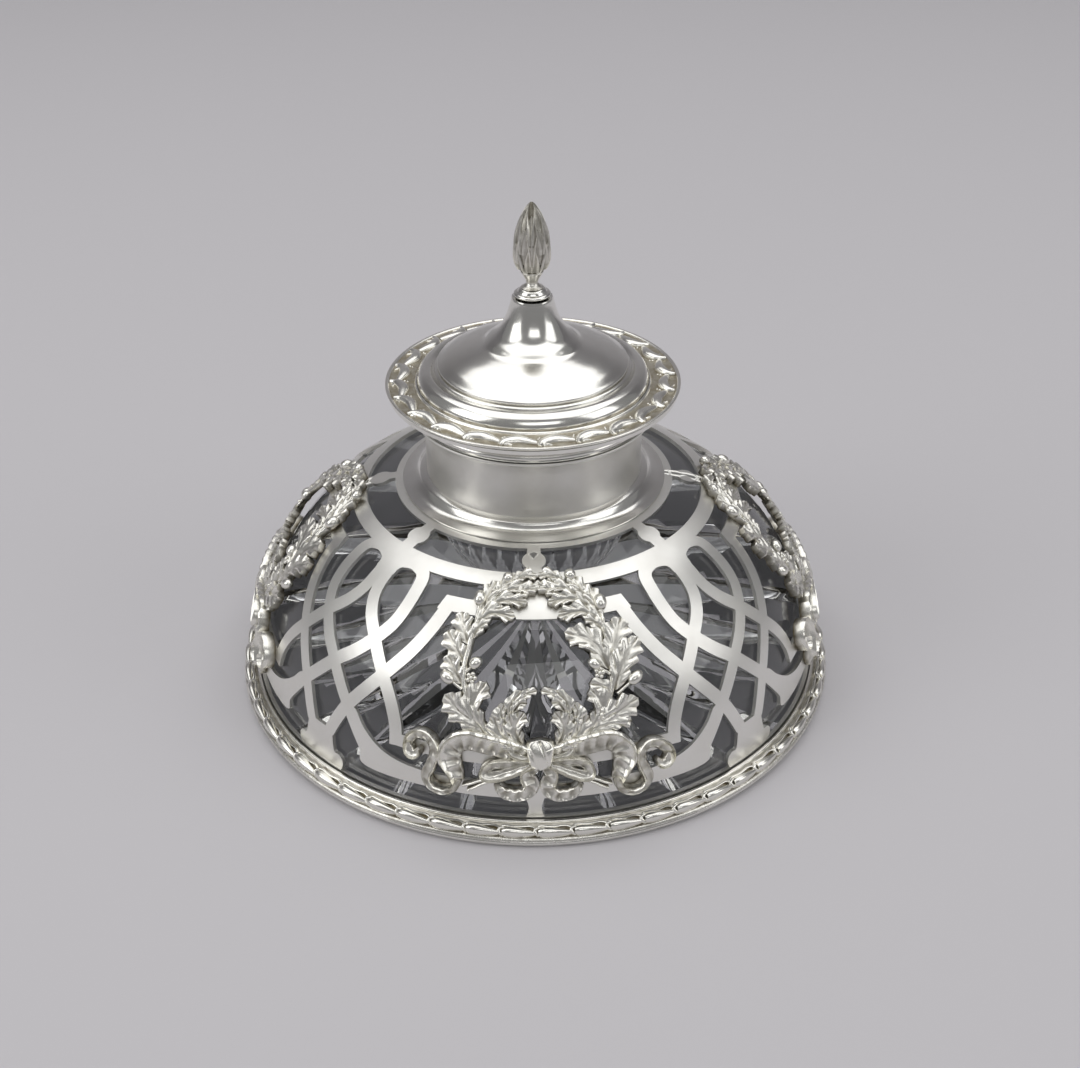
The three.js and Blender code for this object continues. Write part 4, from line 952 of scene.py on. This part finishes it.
def makeWreath():
    bm = bmesh.new()
    for line in wreath["stems"]:
        addStem(bm, onDome, line, 1.9, 1.0, 1.15, along=40)
    for stalk, middle, tip, width, lobes in wreath["leaves"]:
        addLeaf(bm, onDome, [stalk, middle, tip], width, lobes)
    centre = wreath["spraysMiddle"]
    for side in (-1, 1):
        for stalk, middle, tip, width, lobes in wreath["sprays"]:
            line = [(centre - side * (turn - centre) if side > 0 else turn, down) for turn, down in (stalk, middle, tip)]
            addLeaf(bm, onDome, line, width, lobes, peak=1.5)
        spine = [(-1.5, 48), (-4, 45.5), (-5, 42), (-4.3, 39.3), (-2.3, 37.3), (0.3, 36.6)]
        spine = [(centre - side * (turn - centre) if side > 0 else turn, down) for turn, down in spine]
        addStem(bm, onDome, spine, 1.4, 0.7, 0.9, along=24)
    for stalk, place, radius, stretch in wreath["buds"]:
        addStem(bm, onDome, [stalk, place], 0.9, 0.8, 1.2, along=8)
        toward = ((place[0] - stalk[0]) * 0.9, place[1] - stalk[1])
        addBead(bm, onDome, place, radius, 1.35, stretch, toward)
    for place in wreath["blossoms"]:
        for index in range(5):
            turn = index * 72
            addBead(bm, onDome, (place[0] + 0.75 * cos(radians(turn)), place[1] + 0.75 * sin(radians(turn))), 0.48, 1.25)
        addBead(bm, onDome, place, 0.42, 1.6)
    return bm


# Bow: knot, two big loops, two small loops, frilled ends below and long curled tails

bow = {
    "knot": [(1, 45.3), (1, 48.2), (1, 51.2)],
    "loops": [  # half width, tilt, line
        [2.1, 0.75, [(0.2, 48.2), (-4.5, 47.6), (-9, 46.8), (-12.6, 46.5), (-15, 48), (-15.4, 50.4), (-14.3, 52.8), (-13.6, 55)]],
        [2.1, -0.75, [(2, 48.2), (6.5, 47.6), (10.6, 46.9), (13.8, 46.8), (15.9, 48.5), (16.3, 50.6), (15.4, 53), (14.6, 55)]],
        [1.0, 0.45, [(0, 49.9), (-3.2, 50.2), (-6.8, 50.6), (-8.6, 51.5), (-8.8, 53), (-6.6, 52.9), (-3.2, 51.5), (0, 50.3)]],
        [1.0, -0.45, [(2, 49.9), (5.2, 50), (8, 50.3), (9.5, 51.3), (9.7, 53), (7.9, 52.9), (5.1, 51.5), (2.4, 50.3)]],
        [0.6, 0.2, [(0.3, 48.5), (-1.4, 47.4), (-3.2, 46.9), (-4.6, 47.3), (-3.8, 48.5), (-2.2, 49.1), (-0.6, 49)]],
        [0.6, -0.2, [(1.7, 48.5), (3.4, 47.4), (5.2, 46.9), (6.7, 47.3), (5.9, 48.5), (4.3, 49.1), (2.6, 49)]],
    ],
    "frills": [
        [1.5, 0.3, [(0.2, 51), (-1.4, 52.6), (-0.6, 54.6), (-1.6, 56.3), (-3.6, 56.9), (-5.6, 56.2), (-6.7, 54.6)]],
        [1.5, -0.3, [(1.8, 51), (2.9, 52.6), (2.2, 54.7), (3, 56.4), (4.9, 57), (6.9, 56.3), (8, 54.7)]],
    ],
    "stalks": [
        [(-1, 50.6), (-5, 52.3), (-8.6, 53.9), (-12.9, 56)], [(-1, 50.9), (-5, 52.9), (-8.2, 54.4), (-12, 56.9)],
        [(3, 50.6), (6.6, 52.2), (9.6, 53.7), (13.7, 56)], [(3, 50.9), (6.4, 52.8), (9.2, 54.3), (13, 56.8)],
    ],
    "curls": [
        [0.8, 0.3, [(-23.4, 49), (-22.9, 50.7), (-21.7, 50.9), (-21.2, 49.6)]],
        [0.8, -0.3, [(24.6, 51.8), (24.2, 53.4), (22.9, 53.6), (22.2, 52.4)]],
    ],
    "tails": [
        [1.15, 0.6, [(-13.6, 54.6), (-14.6, 56.8), (-16.6, 57.8), (-18.7, 57.2), (-19.7, 55.2), (-19, 53), (-18.4, 51),
                     (-18.4, 48.9), (-19.6, 47.2), (-21.4, 46.8), (-23, 47.8), (-23.4, 49.6), (-22.9, 51.3)]],
        [1.15, -0.6, [(14.6, 54.6), (15.3, 57), (17.4, 58.4), (19.5, 57.9), (20.5, 56.1), (19.9, 54), (19.3, 52),
                      (19.6, 50.1), (21, 49), (22.9, 49.4), (24.4, 50.9), (24.8, 52.7), (23.7, 53.8), (22.6, 53.2)]],
    ],
}


def addRibbon(bm, line, half, tilt, peak=1.3, folds=0.0, taper=True):
    length = walkLine(onDome, line, 4)[1]
    outer = 1 if tilt > 0 else -1

    def halfWidth(part):
        return half * (min(1, 0.5 + 2.4 * part) * min(1, 0.5 + 2.4 * (1 - part)) if taper else 1)

    def lift(side, part):
        rim = 0.75 * exp(-((side * outer - 0.84) / 0.13) ** 2) + 0.35 * exp(-((side * outer + 0.86) / 0.12) ** 2)
        hollow = 0.35 * (1 - side * side)
        pleat = folds * cos(2 * pi * part * length / 2.3 + 1.5 * side) * (0.7 - 0.3 * side * outer) * (1 - side ** 4)
        return max(0.35 + peak * 0.75 + rim - hollow + tilt * side + pleat, 0.25)

    addRelief(bm, onDome, line, halfWidth, lift, across=10, along=max(int(length * 4), 14), peak=peak * 0.75 + 0.85)


def makeBow():
    bm = bmesh.new()
    for half, tilt, line in bow["loops"]:
        addRibbon(bm, line, half, tilt, peak=1.5, folds=0.34 if half > 1.5 else 0.1)
    for half, tilt, line in bow["frills"]:
        addRibbon(bm, line, half, tilt, peak=1.5, folds=0.4)
    for line in bow["stalks"]:
        addStem(bm, onDome, line, 0.95, 0.75, 1.0, along=18)
    for half, tilt, line in bow["tails"]:
        addRibbon(bm, line, half, tilt, peak=1.6, folds=0.16)
    for half, tilt, line in bow["curls"]:
        addRibbon(bm, line, half, tilt, peak=2.2)
    addRelief(
        bm, onDome, bow["knot"], lambda part: (2.9 - 0.9 * part) * (1 - (2 * part - 1) ** 6) ** 0.5 + 0.1,
        lambda side, part: 0.9 + (1.2 + 0.6 * sin(pi * part)) * sqrt(max(1 - 0.92 * side ** 6, 0))
        - 0.55 * (1 - part) ** 0.5 * exp(-(sin(side * 3.4 + 3.0 * part - 0.4) / 0.3) ** 2), across=28, along=18, peak=2.7)
    return bm


def turnedPiece(name, make, node):
    first = make()
    spare = bpy.data.meshes.new(name)
    first.to_mesh(spare)
    first.free()
    for side, turn in sideTurns.items():
        bm = bmesh.new()
        bm.from_mesh(spare)
        bmesh.ops.rotate(bm, cent=(0, 0, 0), matrix=Matrix.Rotation(radians(turn), 3, "Z"), verts=bm.verts[:])
        finishPiece(f"{name}{side.title()}", bm, "cast", "base", f"{node}_{side}", sharpAngle=60)


turnedPiece("wreath", makeWreath, "wreath")
print("wreaths chased")
turnedPiece("bow", makeBow, "bow")
print("bows tied")


# Hinge leaves and the finial's nut: softened copies of the frame's own

def softenedCopy(node, name, finish, body, soft):
    bm = bmesh.new()
    bm.from_mesh(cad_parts[node].data)
    bmesh.ops.scale(bm, vec=(1 / mm, 1 / mm, 1 / mm), verts=bm.verts[:])
    bmesh.ops.remove_doubles(bm, verts=bm.verts[:], dist=0.004)
    bmesh.ops.dissolve_limit(bm, angle_limit=radians(3), verts=bm.verts[:], edges=bm.edges[:])
    edges = [edge for edge in bm.edges if len(edge.link_faces) == 2 and edge.calc_face_angle(0) > radians(40)]
    bmesh.ops.bevel(bm, geom=edges, offset=soft, offset_type="OFFSET", affect="EDGES", segments=2, profile=0.5,
                    material=-1, clamp_overlap=True)
    finishPiece(name, bm, finish, body, node, sharpAngle=40)


softenedCopy("collar_hinge", "hingeBracket", "turned", "base", 0.15)
softenedCopy("lid_hinge", "hingeArm", "turned", "lid", 0.12)
softenedCopy("hinge_pin", "hingeWire", "pin", "base", 0.08)
softenedCopy("finial_nut", "finialNutSoft", "turned", "lid", 0.15)
print("hinge softened")


# Stage, light and camera

stage = {"floor": (0.6, 0.585, 0.605), "sweepRadius": 0.5, "depth": 1.1, "width": 3.2}


def makeStage():
    bm = bmesh.new()
    radius, depth, width = stage["sweepRadius"], stage["depth"], stage["width"]
    line = [(-2.2, 0)] + [(depth + radius * sin(angle), radius - radius * cos(angle)) for angle in
                          [pi / 2 * step / 24 for step in range(25)]] + [(depth + radius, 2.6)]
    verts = [bm.verts.new((-width, y, z)) for y, z in line]
    edges = [bm.edges.new(pair) for pair in zip(verts, verts[1:])]
    made = bmesh.ops.extrude_edge_only(bm, edges=edges)["geom"]
    bmesh.ops.translate(bm, vec=(2 * width, 0, 0), verts=[v for v in made if isinstance(v, bmesh.types.BMVert)])
    bmesh.ops.recalc_face_normals(bm, faces=bm.faces[:])
    mesh = bpy.data.meshes.new("backdrop")
    bm.to_mesh(mesh)
    bm.free()
    for face in mesh.polygons:
        face.use_smooth = True
    cloth = bpy.data.objects.new("backdrop", mesh)
    bpy.context.scene.collection.objects.link(cloth)
    material, tree, shader = newMaterial("paleCloth", Roughness=0.95)
    shader.inputs["Base Color"].default_value = (*stage["floor"], 1)
    shader.inputs["Specular IOR Level"].default_value = 0.15
    cloth.data.materials.append(material)


def addSoftLight(name, place, aim, size, power, colour=(1, 1, 1)):
    data = bpy.data.lights.new(name, "AREA")
    data.shape = "RECTANGLE"
    data.size, data.size_y = size
    data.energy = power
    data.color = colour
    lamp = bpy.data.objects.new(name, data)
    bpy.context.scene.collection.objects.link(lamp)
    lamp.location = place
    lamp.rotation_euler = (Vector(aim) - Vector(place)).to_track_quat("-Z", "Y").to_euler()


def makeLight():
    addSoftLight("topBox", (0, 0.15, 1.25), (0, 0, 0.05), (1.9, 1.5), 10.6)
    addSoftLight("leftBox", (-1.1, -0.45, 0.75), (0, 0, 0.05), (0.8, 0.9), 4.2)
    addSoftLight("rightBox", (1.1, -0.35, 0.7), (0, 0, 0.05), (0.7, 0.9), 2.4)
    addSoftLight("frontBox", (0.15, -1.2, 0.95), (0, 0, 0.05), (0.9, 0.45), 1.8)
    world = bpy.data.worlds.new("studio")
    bpy.context.scene.world = world
    world.use_nodes = True
    background = next(node for node in world.node_tree.nodes if node.type == "BACKGROUND")
    background.inputs["Color"].default_value = (0.36, 0.36, 0.365, 1)
    background.inputs["Strength"].default_value = 0.6


cameraFit = {"distance": 0.34765, "rise": 36.604, "tilt": 32.33, "across": 0.00125, "roll": -0.367, "lens": 49.667}


def makeCamera():
    data = bpy.data.cameras.new("photoCamera")
    data.sensor_fit = "HORIZONTAL"
    data.sensor_width = 36
    data.lens = cameraFit["lens"]
    data.clip_start = 0.01
    camera = bpy.data.objects.new("photoCamera", data)
    bpy.context.scene.collection.objects.link(camera)
    rise = radians(cameraFit["rise"])
    place = Vector((cameraFit["across"], -cameraFit["distance"] * cos(rise), cameraFit["distance"] * sin(rise)))
    look = Matrix.Rotation(radians(90 - cameraFit["tilt"]), 4, "X") @ Matrix.Rotation(radians(cameraFit["roll"]), 4, "Z")
    camera.matrix_world = Matrix.Translation(place) @ look
    bpy.context.scene.camera = camera


makeStage()
makeLight()
makeCamera()
bpy.context.scene.view_settings.view_transform = "Standard"
print("stage set")
